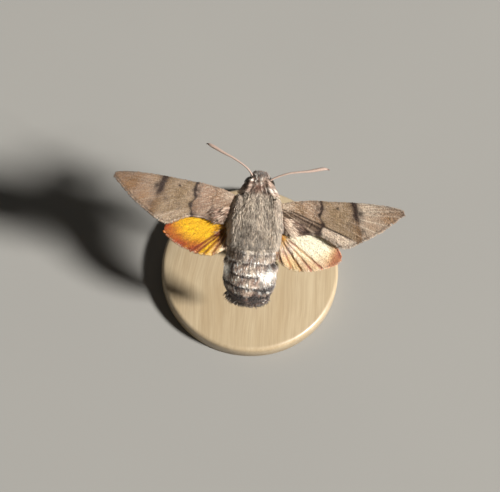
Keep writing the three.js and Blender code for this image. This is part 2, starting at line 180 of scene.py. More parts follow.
def ring_swell(s):
    """Each ring of the abdomen widens towards its back rim, over which the next ring starts narrower."""
    ring = np.clip(np.searchsorted(RING_ENDS, s) - 1, 0, len(RING_ENDS) - 2)
    along = (s - RING_ENDS[ring]) / (RING_ENDS[ring + 1] - RING_ENDS[ring])
    return np.where(s > RING_ENDS[0], 1 + RING_FLARE * (2 * np.clip(along, 0, 1) - 1), 1)


def on_body(s, turn, out=0.0, closing=1.0):
    """World points at spine length s and an angle round from the back, out from the skin in mm."""
    depth = COAT_DEPTH(s)
    height = np.where(np.cos(turn) > 0, TOP(s), BELLY(s))
    aside = np.sin(turn) * ((HALF_WIDTH(s) * ring_swell(s) - depth) * closing + out)
    up = np.cos(turn) * ((height * ring_swell(s) - depth) * closing + out)
    return to_world(*beside_spine(s, aside, up))


print("the thorax's back is at", np.round(on_body(THORAX_MIDDLE, 0.0) / MM, 2), "mm")

# %% [markdown]
# ## The camera
#
# The moth is seen from behind and above, as it hovers away over the ground, so that its four wings and its
# back lie almost square to the view. A long lens keeps the wings from growing towards the camera. A small
# roll lets the body lean, and the view centres a little below the thorax.

# %% Camera
CAMERA_ELEVATION = math.radians(66)
CAMERA_DISTANCE = 0.42  # m
CAMERA_LENS = 187.5  # mm
CAMERA_ROLL = math.radians(6.2)
VIEW_OFFSET = (-0.9, -4.2)  # mm right and up in the view, from the thorax to its middle

away = Vector((0, -math.cos(CAMERA_ELEVATION), -math.sin(CAMERA_ELEVATION)))
turned = Matrix.Rotation(-CAMERA_ROLL, 4, away)
view_right = turned @ Vector((-1, 0, 0))
view_up = view_right.cross(away)
target = Vector(THORAX_AT * MM) + (view_right * VIEW_OFFSET[0] + view_up * VIEW_OFFSET[1]) * MM
camera_data = bpy.data.cameras.new("camera")
camera_data.lens = CAMERA_LENS
camera_data.clip_start = 0.01
camera = bpy.data.objects.new("camera", camera_data)
camera.matrix_world = Matrix.Translation(target - away * CAMERA_DISTANCE) @ Matrix(
    (view_right, view_up, -away)
).transposed().to_4x4()
scene.collection.objects.link(camera)
scene.camera = camera
print("camera height over the floor:", round(camera.matrix_world.translation.z, 3), "m")

# %% [markdown]
# ## Light
#
# One soft light stands for the sun, high on the moth's right. Everything on its left side falls into a
# gentle shade, and that is what makes fur read as fur. Two wide weak lights open the shadows.

# %% Lights
LIGHTS = {
    # name: (place, size, power), in metres and watts, all aimed at the moth
    "key": ((-3.92, 1.36, 3.12), 0.96, 656.0),
    "fill": ((0.45, 0.35, 0.45), 0.6, 0.05),
    "front": ((-0.1, -0.6, 0.3), 0.5, 0.12),
}
for name, (place, size, power) in LIGHTS.items():
    light_data = bpy.data.lights.new(name, "AREA")
    light_data.shape, light_data.size, light_data.energy = "DISK", size, power
    light = bpy.data.objects.new(name, light_data)
    light.location = place
    light.rotation_euler = (Vector(THORAX_AT * MM) - Vector(place)).to_track_quat("-Z", "Y").to_euler()
    scene.collection.objects.link(light)

scene.view_settings.view_transform = "Standard"
print("lights:", ", ".join(LIGHTS))

# %% [markdown]
# ## Materials, meshes and the floor
#
# A material here is a small tree of nodes, so one function adds a node with its settings and links. Another
# turns hex colours, which are as the eye sees them, to the linear ones that light adds up in. A third makes
# a shape into an object. The floor is a sheet of matt paper.

# %% Colours and nodes


def linear(code):
    """An sRGB hex colour as a linear one."""
    parts = [int(code[i : i + 2], 16) / 255 for i in (1, 3, 5)]
    return (*[p / 12.92 if p <= 0.04045 else ((p + 0.055) / 1.055) ** 2.4 for p in parts], 1)


def add(tree, kind, inputs=None, **settings):
    """Adds a node with its settings. Its inputs are values, or outputs of other nodes to link."""
    made = tree.nodes.new("ShaderNode" + kind)
    for key, value in settings.items():
        setattr(made, key, value)
    for key, value in (inputs or {}).items():
        if isinstance(value, bpy.types.NodeSocket):
            tree.links.new(value, made.inputs[key])
        else:
            made.inputs[key].default_value = value
    return made


def material(name):
    """An empty material and its tree."""
    print("material:", name)
    made = bpy.data.materials.new(name)
    made.use_nodes = True
    made.node_tree.nodes.clear()
    return made, made.node_tree


print("half-bright grey in linear light:", round(linear("#808080")[0], 3))

# %% Shapes and pieces


def reshape(bm, place):
    """Moves every vertex of a bmesh to place(x, y, z), all at once."""
    points = np.array([v.co for v in bm.verts])
    for vert, point in zip(bm.verts, place(*points.T)):
        vert.co = point


def face_out(bm):
    """Turns a closed bmesh's faces outwards. On a thin sheet the recalculation alone can guess wrong, so the
    sign of the volume decides."""
    bmesh.ops.recalc_face_normals(bm, faces=bm.faces)
    if bm.calc_volume(signed=True) < 0:
        bmesh.ops.reverse_faces(bm, faces=bm.faces)
    return bm


def object_from(name, shape, finish, smooth_faces=True):
    """An object at the origin, from a bmesh or a mesh."""
    data = shape
    if isinstance(shape, bmesh.types.BMesh):
        data = bpy.data.meshes.new(name)
        shape.to_mesh(data)
        shape.free()
    data.materials.append(finish)
    data.polygons.foreach_set("use_smooth", [smooth_faces] * len(data.polygons))
    made = bpy.data.objects.new(name, data)
    scene.collection.objects.link(made)
    return made


def piece(made, slot, *nodes):
    """The object rides on the moth and stands for these parts of the frame, which are hidden. The slot is not
    used.
    """
    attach(made, "root")
    if nodes:
        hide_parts(*nodes)
    made.data.calc_loop_triangles()
    print(f"{made.name}: {len(made.data.loop_triangles)} triangles")
    return made


def write_attributes(mesh, **values):
    """Writes one number per vertex under each name, for the materials to read."""
    for name, value in values.items():
        layer = mesh.attributes.new(name, "FLOAT", "POINT")
        layer.data.foreach_set("value", np.broadcast_to(value, len(mesh.vertices)).astype(np.float32))


def joined(shapes):
    """One bmesh from several."""
    whole = bmesh.new()
    for shape in shapes:
        data = bpy.data.meshes.new("part")
        shape.to_mesh(data)
        shape.free()
        whole.from_mesh(data)
        bpy.data.meshes.remove(data)
    return whole


print("nodes to dress:", ", ".join(frame["nodes"]))

# %% Walls of the studio: pale from the floor to a little above the moth, and dark overhead
WALL_TOP = (0.12, 0.3)  # where the walls fade out, from 0 at the horizon to 1 overhead
WALL_LIGHT = (0.42, 0.03)  # strength below that, and above
studio = bpy.data.worlds.new("studio")
studio.use_nodes = True
tree = studio.node_tree
tree.nodes.clear()
height = add(tree, "SeparateXYZ", {0: add(tree, "TexCoord").outputs["Generated"]}).outputs[2]
inputs = dict(enumerate((height, *WALL_TOP, *WALL_LIGHT)))
strength = add(tree, "MapRange", inputs, interpolation_type="SMOOTHSTEP")
walls = add(tree, "Background", {"Color": (1.0, 0.97, 0.93, 1), "Strength": strength.outputs[0]})
add(tree, "OutputWorld", {"Surface": walls.outputs[0]})
scene.world = studio
print("walls of strength", WALL_LIGHT[0], "and", WALL_LIGHT[1], "overhead")

# %% Matt paper floor: a faint mottle keeps it from looking like a flat fill
FLOOR_HALF = 0.6  # m
paper, tree = material("matt_paper")
place = add(tree, "TexCoord").outputs["Object"]
mottle = add(tree, "TexNoise", {"Vector": place, "Scale": 15.0, "Detail": 3.0})
shade = add(
    tree, "Mix", {0: mottle.outputs[0], 6: linear("#8f8c86"), 7: linear("#95928b")}, data_type="RGBA"
)
inputs = {"Base Color": shade.outputs[2], "Roughness": 0.9, "Specular IOR Level": 0.0}
shader = add(tree, "BsdfPrincipled", inputs)
add(tree, "OutputMaterial", {"Surface": shader.outputs[0]})
bm = bmesh.new()
bmesh.ops.create_grid(bm, x_segments=1, y_segments=1, size=FLOOR_HALF)
floor = object_from("floor", bm, paper, smooth_faces=False)
print("floor", 2 * FLOOR_HALF, "m across")

# %% [markdown]
# ## Scales as a material
#
# All scales of a moth are dead, ribbed flakes of chitin, and their colour is pigment inside them. A coat's
# pattern is made of whole scales of a few colours, and is never painted across them. So each scale carries a
# few numbers, taken at its root, that say how pale, dark or warm it is, and the bare skin below carries the
# same numbers. The material mixes the colours by them. It also reads a random shade, and how far along the
# scale a point is, and paints a shade on the roots, where scales lie in each other's shadow, so that the tips
# are lighter.

# %% Chitin scales: matt with a faint gloss, finer than the eye, so each has one colour


def scale_finish(
    name, ground, mottled, warm, pale, dark, under, roughness=0.62, grain=2.0, sheen=0.15,
    darkest=0.7, lightest=1.25,
):
    """A coat of scales. The first two colours mottle with a grain in mm, and the others mix in by attribute.
    Single scales differ in value between the darkest and the lightest share."""
    made, tree = material(name)
    place = add(tree, "TexCoord").outputs["Object"]
    inputs = {"Vector": place, "Scale": 1 / (grain * MM), "Detail": 4.0, "Roughness": 0.7}
    cloud = add(tree, "TexNoise", inputs)
    patch = add(tree, "MapRange", {0: cloud.outputs[0], 1: 0.35, 2: 0.65})
    colour = add(tree, "Mix", {0: patch.outputs[0], 6: linear(ground), 7: linear(mottled)}, data_type="RGBA")
    for mask, code in {"under": under, "warm": warm, "pale": pale, "dark": dark}.items():
        share = add(tree, "Attribute", attribute_name=mask).outputs["Fac"]
        inputs = {0: share, 6: colour.outputs[2], 7: linear(code)}
        colour = add(tree, "Mix", inputs, data_type="RGBA")
    random = add(tree, "Attribute", attribute_name="shade").outputs["Fac"]
    along = add(tree, "Attribute", attribute_name="along").outputs["Fac"]
    own = add(tree, "MapRange", {0: random, 1: 0.0, 2: 1.0, 3: darkest, 4: lightest})
    # Painted shade: each scale darkens towards its root, where scales lie in each other's shadow
    painted_root_shade = add(tree, "MapRange", {0: along, 1: 0.0, 2: 0.7, 3: 0.6, 4: 1.0})
    value = add(tree, "Math", {0: own.outputs[0], 1: painted_root_shade.outputs[0]}, operation="MULTIPLY")
    colour = add(tree, "HueSaturation", {"Color": colour.outputs[2], "Value": value.outputs[0]})
    inputs = {"Base Color": colour.outputs[0], "Roughness": roughness}
    inputs |= {"Sheen Weight": sheen, "Sheen Roughness": 0.4}
    shader = add(tree, "BsdfPrincipled", inputs)
    add(tree, "OutputMaterial", {"Surface": shader.outputs[0]})
    return made


# %% The coats' finishes
body_scales = scale_finish(
    "body_scales",
    ground="#d2c2ad", mottled="#b5a491", warm="#bd9179", pale="#fffaf0", dark="#1f1006", under="#d9cdb8",
    grain=1.2, darkest=0.35, lightest=1.65,
)
forewing_finish = scale_finish(
    "brown_wing_scales",
    ground="#a48a69", mottled="#8b7152", warm="#b08a73", pale="#e6d3ba", dark="#2b150b", under="#a06a34",
    grain=0.8, sheen=0.0,
)
hindwing_finish = scale_finish(
    "yellow_wing_scales",
    ground="#f3c314", mottled="#efb60c", warm="#ab4c18", pale="#fff9e4", dark="#45210f", under="#d89a3e",
    grain=1.5, sheen=0.0,
)

# %% [markdown]
# ## Laying a coat
#
# A hair-like scale is a thin three-sided spike, closed at its root and drawn out to a point. It is given as
# a line of points from root to tip, and the arrays of all those lines become one mesh. Three sides are the
# fewest that make a solid, and at this size no more can be seen.
#
# Each scale also gets a tiny patch on a flat map of the skin, at its root's place, so that colours can later
# be stored on that map.

# %% Even random places


def even_places(rng, count, *ranges):
    """Random places in two ranges, one in each cell of a grid, so that they leave no holes. The last value
    of each range is how many mm one unit of it is."""
    (low_a, high_a, mm_a), (low_b, high_b, mm_b) = ranges
    tall, wide = abs(high_a - low_a) * mm_a, abs(high_b - low_b) * mm_b
    rows = max(1, round(math.sqrt(count * tall / wide)))
    columns = max(1, round(count / rows))
    row, column = np.divmod(np.arange(rows * columns), columns)
    a = (row + rng.uniform(0, 1, len(row))) / rows
    b = (column + rng.uniform(0, 1, len(row))) / columns
    return low_a + (high_a - low_a) * a, low_b + (high_b - low_b) * b


tried = even_places(np.random.default_rng(0), 50, (0, 10, 1), (0, 4, 1))
print("asked for 50 places on 10 by 4 mm, got", len(tried[0]))

# %% Hair-like scales, from lines of points
PATCH = 0.003  # the size of a scale's own patch on the map


def on_map(share):
    """A share of the map's width or height, kept a little inside its edges."""
    return 0.01 + 0.98 * share


def unit(vectors):
    return vectors / np.maximum(np.linalg.norm(vectors, axis=-1, keepdims=True), 1e-12)


def hair_piece(name, line, outward, width, profile, at_map, finish, ridge=0.45, **numbers):
    """One mesh of closed spikes. line is (count, rings, 3), root to tip, in metres. Width is in mm, and
    profile is its share at each ring but the tip. at_map is each root's place on the map of the skin."""
    count, rings = line.shape[:2]
    tangent = unit(np.gradient(line, axis=1))
    side = unit(np.cross(tangent, outward))
    up = np.cross(side, tangent)
    half = (np.asarray(width).reshape(-1, 1) * np.asarray(profile) * MM / 2)[:, :, None]
    body, side, up = line[:, :-1], side[:, :-1], up[:, :-1]
    ring = np.stack([body - side * half, body + side * half, body + up * half * 2 * ridge], axis=2)
    verts = np.concatenate([ring.reshape(count, -1, 3), line[:, -1:]], axis=1)
    faces = [(0, 1, 2)]
    for k in range(rings - 2):
        for a, b in ((1, 0), (2, 1), (0, 2)):
            low, high = 3 * k, 3 * k + 3
            faces += [(low + a, low + b, high + b), (low + a, high + b, high + a)]
    last = 3 * (rings - 2)
    faces += [(last + a, last + b, last + 3) for a, b in ((1, 0), (2, 1), (0, 2))]
    share = np.append(np.repeat(np.arange(rings - 1), 3), rings - 1) / (rings - 1)
    across = np.append(np.tile([-0.5, 0.5, 0.0], rings - 1), 0.0)
    local = np.stack([across, share - 0.5], axis=-1) * PATCH
    spots = np.stack(at_map, axis=-1)[:, None] + local
    return flakes(name, verts, faces, spots, finish, along=share, **numbers)


print("triangles in a spike of 3 and of 4 rings:", [1 + 6 * (rings - 2) + 3 for rings in (3, 4)])

# %% One mesh of many small shapes that are all alike


def flakes(name, verts, faces, spots, finish, along, **numbers):
    """One object from (count, n, 3) vertices that share one list of triangles."""
    count, each = verts.shape[:2]
    corners = (np.arange(count)[:, None, None] * each + np.array(faces)).reshape(-1)
    mesh = bpy.data.meshes.new(name)
    mesh.vertices.add(count * each)
    mesh.vertices.foreach_set("co", verts.astype(np.float32).reshape(-1))
    mesh.loops.add(len(corners))
    mesh.loops.foreach_set("vertex_index", corners.astype(np.int32))
    mesh.polygons.add(len(corners) // 3)
    mesh.polygons.foreach_set("loop_start", np.arange(0, len(corners), 3, dtype=np.int32))
    mesh.update(calc_edges=True)
    layer = mesh.uv_layers.new(name="OFBake")
    layer.data.foreach_set("uv", spots.reshape(-1, 2)[corners].astype(np.float32).reshape(-1))
    per_scale = {key: np.repeat(np.broadcast_to(value, count), each) for key, value in numbers.items()}
    write_attributes(mesh, along=np.tile(along, count), **per_scale)
    return object_from(name, mesh, finish)


# %% [markdown]
# ## The marks on the body
#
# The moth's back is olive grey, warmer towards the tail. Its rings end in thin pale lines with dark ones
# below, which are partly dark bands and partly painted shade under each ring's rim. A white tuft and a black
# one stand on each flank, and its tail end is nearly black. The head has a dark stripe down its middle, and
# pale lines over the eyes. The underside is pale. These marks are worked out in one place, for the skin and
# the coat alike.

# %% Marks by body address
TWIST = 0.3  # radians by which the abdomen is turned on its axis


def body_marks(s, turn):
    """How warm, pale, dark and under-coloured a body scale is, by its address on the skin. Each hill below
    has its centre and width in mm along the spine or across the back, or in radians round it."""
    back = smooth(-0.2, 0.5, np.cos(turn))
    turn = turn - TWIST * smooth(12, 15, s)
    aside = np.sin(turn) * HALF_WIDTH(s)
    off_middle = np.abs(aside)
    flank = hill(np.abs(turn), 1.15, 0.75)
    tuft = hill(s, 14.7, 1.1) * hill(np.abs(turn), 1.1, 0.62)
    ragged = ripple(5, 0.5, s * 1.2, turn * 4)
    fine = ripple(6, 0.35, s, aside)
    blotch = ripple(7, 0.9, s * 1.4, aside)
    on_head = 1 - smooth(2.5, 3.2, s)
    on_rings = smooth(11.2, 13.6, s)
    on_tail = smooth(17.4, 19.6, s + 0.4 * ragged)

    # Pale: a thin line at the end of each ring, specks, the crown, a rim over the eye, the flank's tuft
    ends = hill(s, 11.8, 0.25) * 0.45 + hill(s, 13.05, 0.3) * 0.75 + hill(s, 14.75, 0.3) * 0.9
    ends = ends + hill(s, 16.6, 0.35) * 0.9 + hill(s, 18.4, 0.25) * 0.5
    specks = smooth(0.25, 1.1, fine) * on_rings * (1 - 0.8 * on_tail)
    pale = back * np.clip(ends * (0.55 + 0.7 * ragged) + specks, 0, 1)
    pale += on_head * (hill(s, 0.75, 0.35) * hill(off_middle, 0, 1.7) * 0.6 + 0.4 * smooth(0.3, 1.0, -fine))
    pale += hill(s, 2.3, 2.2) * hill(np.abs(turn), 1.25, 0.2) * 0.45
    pale += tuft * 3.0 + hill(s, 16.2, 0.9) * flank * 0.5 + hill(s, 19.4, 0.7) * flank * 0.4

    # Dark: below each pale line, partly dark bands and partly painted shade under the rims, blotches on the
    # rings, stripes on the head, the flank's other tuft
    dark_bands_and_rim_shade = hill(s, 12.1, 0.25) * 0.4 + hill(s, 13.4, 0.32) * 0.6 + hill(s, 15.15, 0.38) * 1.15
    dark_bands_and_rim_shade = dark_bands_and_rim_shade + hill(s, 17.1, 0.6) * 1.0 + hill(s, 18.85, 0.45) * 1.2
    dark = back * np.clip(dark_bands_and_rim_shade, 0, 1) * (0.8 + 0.5 * ragged) + on_tail * (0.7 + 0.3 * fine)
    dark += back * (smooth(10.5, 12, s) * (0.24 - 0.14 * hill(s, 15.5, 3)) + on_rings * 0.34 * blotch)
    dark += on_head * (0.2 + 0.42 * fine) + on_head * hill(s, 1.2, 0.4) * hill(aside, 0.2, 0.8) * 0.6
    dark += on_head * hill(off_middle, 1.35, 0.7) * smooth(0.6, 1.4, s) * (0.28 + 0.3 * blotch)
    dark += hill(s, 2.9, 0.4) * hill(off_middle, 0.75, 0.45) * 0.4
    dark += hill(s, 17.3, 0.8) * flank * 0.8 + hill(s, 20.6, 1.0) * flank * 0.8

    warm = on_rings * (0.4 + 0.3 * blotch) + on_tail * 0.75 + on_head * (0.5 + 0.3 * fine)
    warm += hill(s, 2.1, 0.6) * hill(off_middle, 0.3, 0.6) * 0.6
    return {
        "warm": np.clip(warm, 0, 1) * back,
        "pale": np.clip(pale, 0, 1),
        "dark": np.clip(dark * (1 - np.clip(tuft * 2, 0, 1)), 0, 0.95),
        "under": (1 - back) * (1 - smooth(13, 16, s) * 0.5),
    }


tried = body_marks(np.array([THORAX_MIDDLE, 14.75]), np.zeros(2))
print("how pale the thorax and a ring's end are:", np.round(tried["pale"], 2))

# %% [markdown]
# ## The skin
#
# Under the coat is one continuous skin from face to tail. It starts as a ball whose poles become the two
# ends of the spine, drawn out to the body's outline less the depth of the coat. Two more balls on it are
# the lobes that roof the wing roots, and two before the face are the palps. Remeshing them together melts
# the joins, so that no seam shows anywhere.

# %% Lobes over the wing roots, and palps
TEGULA = {"at": (3.4, -1.85, 2.15), "radii": (0.7, 2.3, 1.2), "roll": 36, "yaw": 12}
PALP = {"at": (0.86, -6.45, -2.25), "radii": (0.54, 1.5, 0.85), "tilt": 52}
LOBE_COAT = 0.3  # mm between a lobe's skin and the outside of its coat


def tegula_turn(side):
    return Matrix.Rotation(math.radians(-side * TEGULA["yaw"]), 3, "Z") @ Matrix.Rotation(
        math.radians(-side * TEGULA["roll"]), 3, "Y"
    )


def palp_turn(side):
    return Matrix.Rotation(math.radians(-PALP["tilt"]), 3, "X")


def on_lobe(lobe, turning, side, around, down, out=0.0):
    """World points on a tegula or a palp: an angle around its long axis, and one down from its front end."""
    radii = np.array(lobe["radii"]) - LOBE_COAT + np.asarray(out)[..., None]
    beside = np.sin(down)
    ball = np.stack([beside * np.sin(around), -np.cos(down) + 0 * around, beside * np.cos(around)], -1)
    points = (ball * radii) @ np.array(turning(side)).T
    centre = np.array(lobe["at"]) * (side, 1, 1)
    return to_world(*np.moveaxis(points + centre, -1, 0))


print("a lobe is", 2 * TEGULA["radii"][1], "mm long and a palp", 2 * PALP["radii"][1])

# %% A ball drawn out to the body, with the lobes and palps on it
SKIN_START = 0.12  # mm along the spine
SKIN_LENGTH = BODY_END - 0.3
ball = bmesh.new()
bmesh.ops.create_uvsphere(ball, u_segments=72, v_segments=150, radius=1)


def ball_to_body(x, y, z):
    """The ball's z says how far along the spine a point goes. The body is blunt, so only the last bit of z
    closes its ends."""
    down = np.arccos(np.clip(z, -1, 1))
    s = SKIN_START + SKIN_LENGTH * (1 - np.cos(down)) / 2
    return on_body(s, np.arctan2(x, y), closing=np.sqrt(np.clip(1 - z**8, 0, 1)))


reshape(ball, ball_to_body)
shapes = [ball]
for lobe, turning in ((TEGULA, tegula_turn), (PALP, palp_turn)):
    for side in (1, -1):

        def ball_to_lobe(x, y, z):
            return on_lobe(lobe, turning, side, np.arctan2(x, y), np.arccos(np.clip(-z, -1, 1)))

        part = bmesh.new()
        bmesh.ops.create_uvsphere(part, u_segments=32, v_segments=24, radius=1)
        reshape(part, ball_to_lobe)
        shapes.append(part)
bm = joined(shapes)
print("faces before melting:", len(bm.faces))

# %% Remeshing melts the joins: in mm, because tiny voxels lose accuracy in metres
SKIN_VOXEL = 0.16  # mm
SKIN_SOFTENING = 4  # rounds of smoothing, which take away the voxels' steps
bmesh.ops.scale(bm, vec=(1 / MM,) * 3, verts=bm.verts)
bmesh.ops.recalc_face_normals(bm, faces=bm.faces)
skin = object_from("skin_rough", bm, body_scales)
remesh = skin.modifiers.new("melt", "REMESH")
remesh.mode = "VOXEL"
remesh.voxel_size = SKIN_VOXEL
soften = skin.modifiers.new("soften", "SMOOTH")
soften.iterations = SKIN_SOFTENING
melted = bpy.data.meshes.new_from_object(skin.evaluated_get(bpy.context.evaluated_depsgraph_get()))
bpy.data.objects.remove(skin)
melted.transform(Matrix.Scale(MM, 4))
melted.materials.clear()
print("vertices after it:", len(melted.vertices))

# %% Marks on the skin


def body_address(points):
    """Spine length and turn of world points near the body: the other way round from on_body."""
    x, y, z = (points / MM - THORAX_AT).T
    back = y * math.cos(PITCH) - z * math.sin(PITCH)
    up = y * math.sin(PITCH) + z * math.cos(PITCH)
    nearest = np.concatenate([
        np.argmin((b[:, None] - spine_back) ** 2 + (u[:, None] - spine_up) ** 2, axis=1)
        for b, u in zip(np.array_split(back, 16), np.array_split(up, 16))
    ])
    angle = np.radians(HEADING(spine_length[nearest]))
    over = (back - spine_back[nearest]) * np.sin(angle) + (up - spine_up[nearest]) * np.cos(angle)
    return spine_length[nearest], np.arctan2(x, over)


points = np.empty(len(melted.vertices) * 3)
melted.vertices.foreach_get("co", points)
s, turn = body_address(points.reshape(-1, 3))
write_attributes(melted, along=0.2, shade=0.5, **body_marks(s, turn))
skin = object_from("moth_skin", melted, body_scales)
flesh = ["head", "collar", "thorax", *[f"abdomen_{i}" for i in range(1, 8)]]
lobes = [f"{lobe}_{side}" for lobe in ("tegula", "palp") for side in ("left", "right")]
piece(skin, "coat_olive", *flesh, *lobes)

# %% [markdown]
# ## The coat of the body
#
# The hair-like scales of the thorax are about two millimetres long, thin, and laid back over each other in
# a deep pile. Those of the head are short, and the abdomen's are flat and close, with a longer row at each
# ring's back rim. All of them are laid by one function, which follows the body's own address, so that they
# bend with it. Their direction wanders in slow waves, which parts the pile into locks.

# %% Laying hair-like scales along the body
RINGS_LONG = np.array([0, 0.35, 0.7, 1])  # by share of a scale's length
PROFILE_LONG = (0.75, 1, 0.75)  # its width at each ring but the tip
RINGS_SHORT = np.array([0, 0.6, 1])
PROFILE_SHORT = (0.8, 1)


def lay_coat(name, count, s_range, turn_range, length, width, stand, slot, seed, splay=0.2, swirl=0.0):
    """Lays scales over a stretch of the body. Stand is how far their tips stand off, as a share of the
    coat's depth. Length may be a function of s, and stand one of turn. Splay and swirl turn them aside, at
    random and together."""
    rng = np.random.default_rng(seed)
    s, turn = even_places(rng, count, (*s_range, 1), (*turn_range, 4))
    radius = (HALF_WIDTH(s) + TOP(s)) / 2
    kept = rng.uniform(0, 1, len(s)) < radius / radius.max()
    s, turn = s[kept], turn[kept]
    count = len(s)
    long = (length(s) if callable(length) else length) * rng.uniform(0.75, 1.2, count)
    rise = (stand(turn) if callable(stand) else stand) * COAT_DEPTH(s) * rng.uniform(0.35, 1.25, count)
    yaw = swirl + splay * (0.7 * ripple(seed, 1.6, s, turn * 4) + 0.6 * rng.normal(size=count))
    small = 0.02  # a step for measuring how many mm one unit of s or of turn is here
    along_s = np.linalg.norm(on_body(s + small, turn) - on_body(s, turn), axis=-1) / MM / small
    along_turn = np.linalg.norm(on_body(s, turn + small) - on_body(s, turn), axis=-1) / MM / small
    t = RINGS_SHORT[None, :]
    s_line = s[:, None] + (long * np.cos(yaw) / along_s)[:, None] * t
    turn_line = turn[:, None] + (long * np.sin(yaw) / np.maximum(along_turn, 0.3))[:, None] * t
    out = -0.08 + rise[:, None] * t * (1.4 - 0.4 * t)
    line = on_body(s_line, turn_line, out)
    outward = (on_body(s, turn, 1.0) - on_body(s, turn, 0.0))[:, None, :]
    share = (s - s_range[0]) / (s_range[1] - s_range[0])
    at_map = on_map(turn / (2 * np.pi) % 1), on_map(share)
    wide = width * rng.uniform(0.75, 1.25, count)
    masks = body_marks(s, turn)
    locks = (0.12 + 0.28 * smooth(2.4, 3.6, s)) * ripple(seed + 50, 0.35, s * 0.2, turn * 4)
    shade = np.clip(rng.normal(0.5, 0.22, count) + locks + 0.4 * masks["pale"], 0, 1)
    made = hair_piece(
        name, line, outward, wide, PROFILE_SHORT, at_map, body_scales, shade=shade, **masks
    )
    return piece(made, slot)


# %% Coats of the thorax and the abdomen
SIDES = ((1, "left"), (-1, "right"))


def thorax_length(s):
    """Short on the collar, then long, and shorter again over the first ring."""
    return 1.0 + 1.2 * smooth(4.0, 6.0, s) - 1.5 * smooth(9.0, 11.0, s)


def thorax_stand(turn):
    """Higher beside each wing root's lobe, to fill the groove along it."""
    return 1.0 + 0.55 * hill(np.abs(turn), 0.8, 0.25)


def ring_length(s):
    """Short and close, but longer just before each ring's back rim."""
    rim = np.max([hill(s, end - 0.4, 0.4) for end in RING_ENDS[1:]], axis=0)
    return 0.5 + 0.25 * rim


for side, place in SIDES:
    upper, whole = (0, side * 1.75), (0, side * np.pi)
    lay_coat(
        f"thorax_coat_{place}", 16500, (3.0, 11.2), upper, thorax_length, 0.11, thorax_stand, "coat_olive",
        seed=1 + side, splay=0.24,
    )
    lay_coat(
        f"abdomen_coat_{place}", 15000, (10.9, 22.4), whole, ring_length, 0.13, 0.45, "coat_abdomen",
        seed=5 + side, splay=0.12,
    )
UNDERSIDE = (1.75, 2 * np.pi - 1.75)
lay_coat("thorax_coat_lower", 6000, (3.0, 11.6), UNDERSIDE, thorax_length, 0.14, 1.0, "coat_olive", seed=3)

# %% Coat of the head


def head_length(s):
    """Very short on the face, and longer where it runs into the collar."""
    return 0.32 + 1.0 * smooth(2.0, 3.6, s)


lay_coat("head_coat", 13400, (0.1, 4.2), (-np.pi, np.pi), head_length, 0.09, 0.9, "coat_olive", seed=8)

# %% Brows: a fringe of pale scales that lies over the top of each eye


def brow_length(s):
    """Shorter at the front, by the antenna's root."""
    return 0.7 + 0.25 * smooth(0.9, 1.6, s)


for side, place in SIDES:
    lay_coat(
        f"brow_coat_{place}", 2100, (0.8, 2.9), (side * 0.4, side * 0.93), brow_length, 0.09, 2.1,
        "coat_olive", seed=16 + side, splay=0.12, swirl=side * 0.85,
    )

# %% Flank tufts, which stand out white and black


def tuft_length(s):
    """Longest in the white tuft."""
    return 1.0 + 0.8 * hill(s, 15.2, 1.5)


def tuft_stand(turn):
    """Flat where a tuft begins on the back, so that it casts no hard edge there."""
    return 0.5 + 1.0 * smooth(0.85, 1.35, np.abs(turn - TWIST))


for side, place in SIDES:
    ranges = (13.4, 21.2), (side * 0.8 + TWIST, side * 1.85 + TWIST)
    lay_coat(
        f"flank_tufts_{place}", 3200, *ranges, tuft_length, 0.12, tuft_stand, "coat_abdomen",
        seed=22 + side, splay=0.3, swirl=side * 0.12,
    )

# %% [markdown]
# ## The tail brush
#
# A hawk moth steers with a fan of long flat scales at the tip of its abdomen. They spring from the last ring
# and spread sideways in a flat brush, black in the middle with pale wisps among them.

# %% Tail brush
TAIL = {"count": 4800, "root": (20.9, 22.5), "length": (2.4, 4.3), "spread": 0.16, "flatten": 0.72}
rng = np.random.default_rng(9)
s, turn = even_places(rng, TAIL["count"], (*TAIL["root"], 1), (-np.pi, np.pi, 2))
count = len(s)
sideways = np.sin(turn) * HALF_WIDTH(s) * rng.uniform(0.35, 1, count)
upward = np.cos(turn) * TOP(s) * rng.uniform(0.3, 1, count) * 0.85
long = rng.uniform(*TAIL["length"], count) * (1 - 0.03 * sideways**2)
t = RINGS_SHORT[None, :]
spread = 1 + TAIL["spread"] * t
jitter = rng.normal(size=(count, 1)) * 0.25 * t
line = to_world(*beside_spine(
    s[:, None] + long[:, None] * t,
    sideways[:, None] * spread + jitter,
    upward[:, None] * (1 - TAIL["flatten"] * t) + rng.normal(size=(count, 1)) * 0.12 * t,
))
outward = to_world(*beside_spine(s, sideways * 0.2, upward + 1)) - to_world(*beside_spine(s, 0 * s, 0 * s))
wisp = rng.uniform(0, 1, count) < 0.05 + 0.12 * smooth(1.4, 2.2, np.abs(sideways))
share = (s - TAIL["root"][0]) / (TAIL["root"][1] - TAIL["root"][0])
tail = hair_piece(
    "tail_fan_scales", line, outward[:, None], rng.uniform(0.11, 0.2, count), (0.6, 1),
    (on_map(turn / (2 * np.pi) % 1), on_map(share)), body_scales, ridge=0.2, shade=rng.uniform(0, 1, count),
    warm=0.9, pale=wisp * 0.75, dark=np.where(wisp, 0.1, 0.85), under=0.0,
)
piece(tail, "tail_scales", "tail_fan_right", "tail_fan_middle", "tail_fan_left")

# %% [markdown]
# ## The wings
#
# A wing is a thin double sheet held open by veins: tubes that run from the root to the margin. Each sheet
# starts as a flat grid that gets its thickness while it is still flat. Then one function lifts it to its
# place, with the twist, the camber, the folds, and a low ridge along each vein. The same function puts every
# scale on it later.

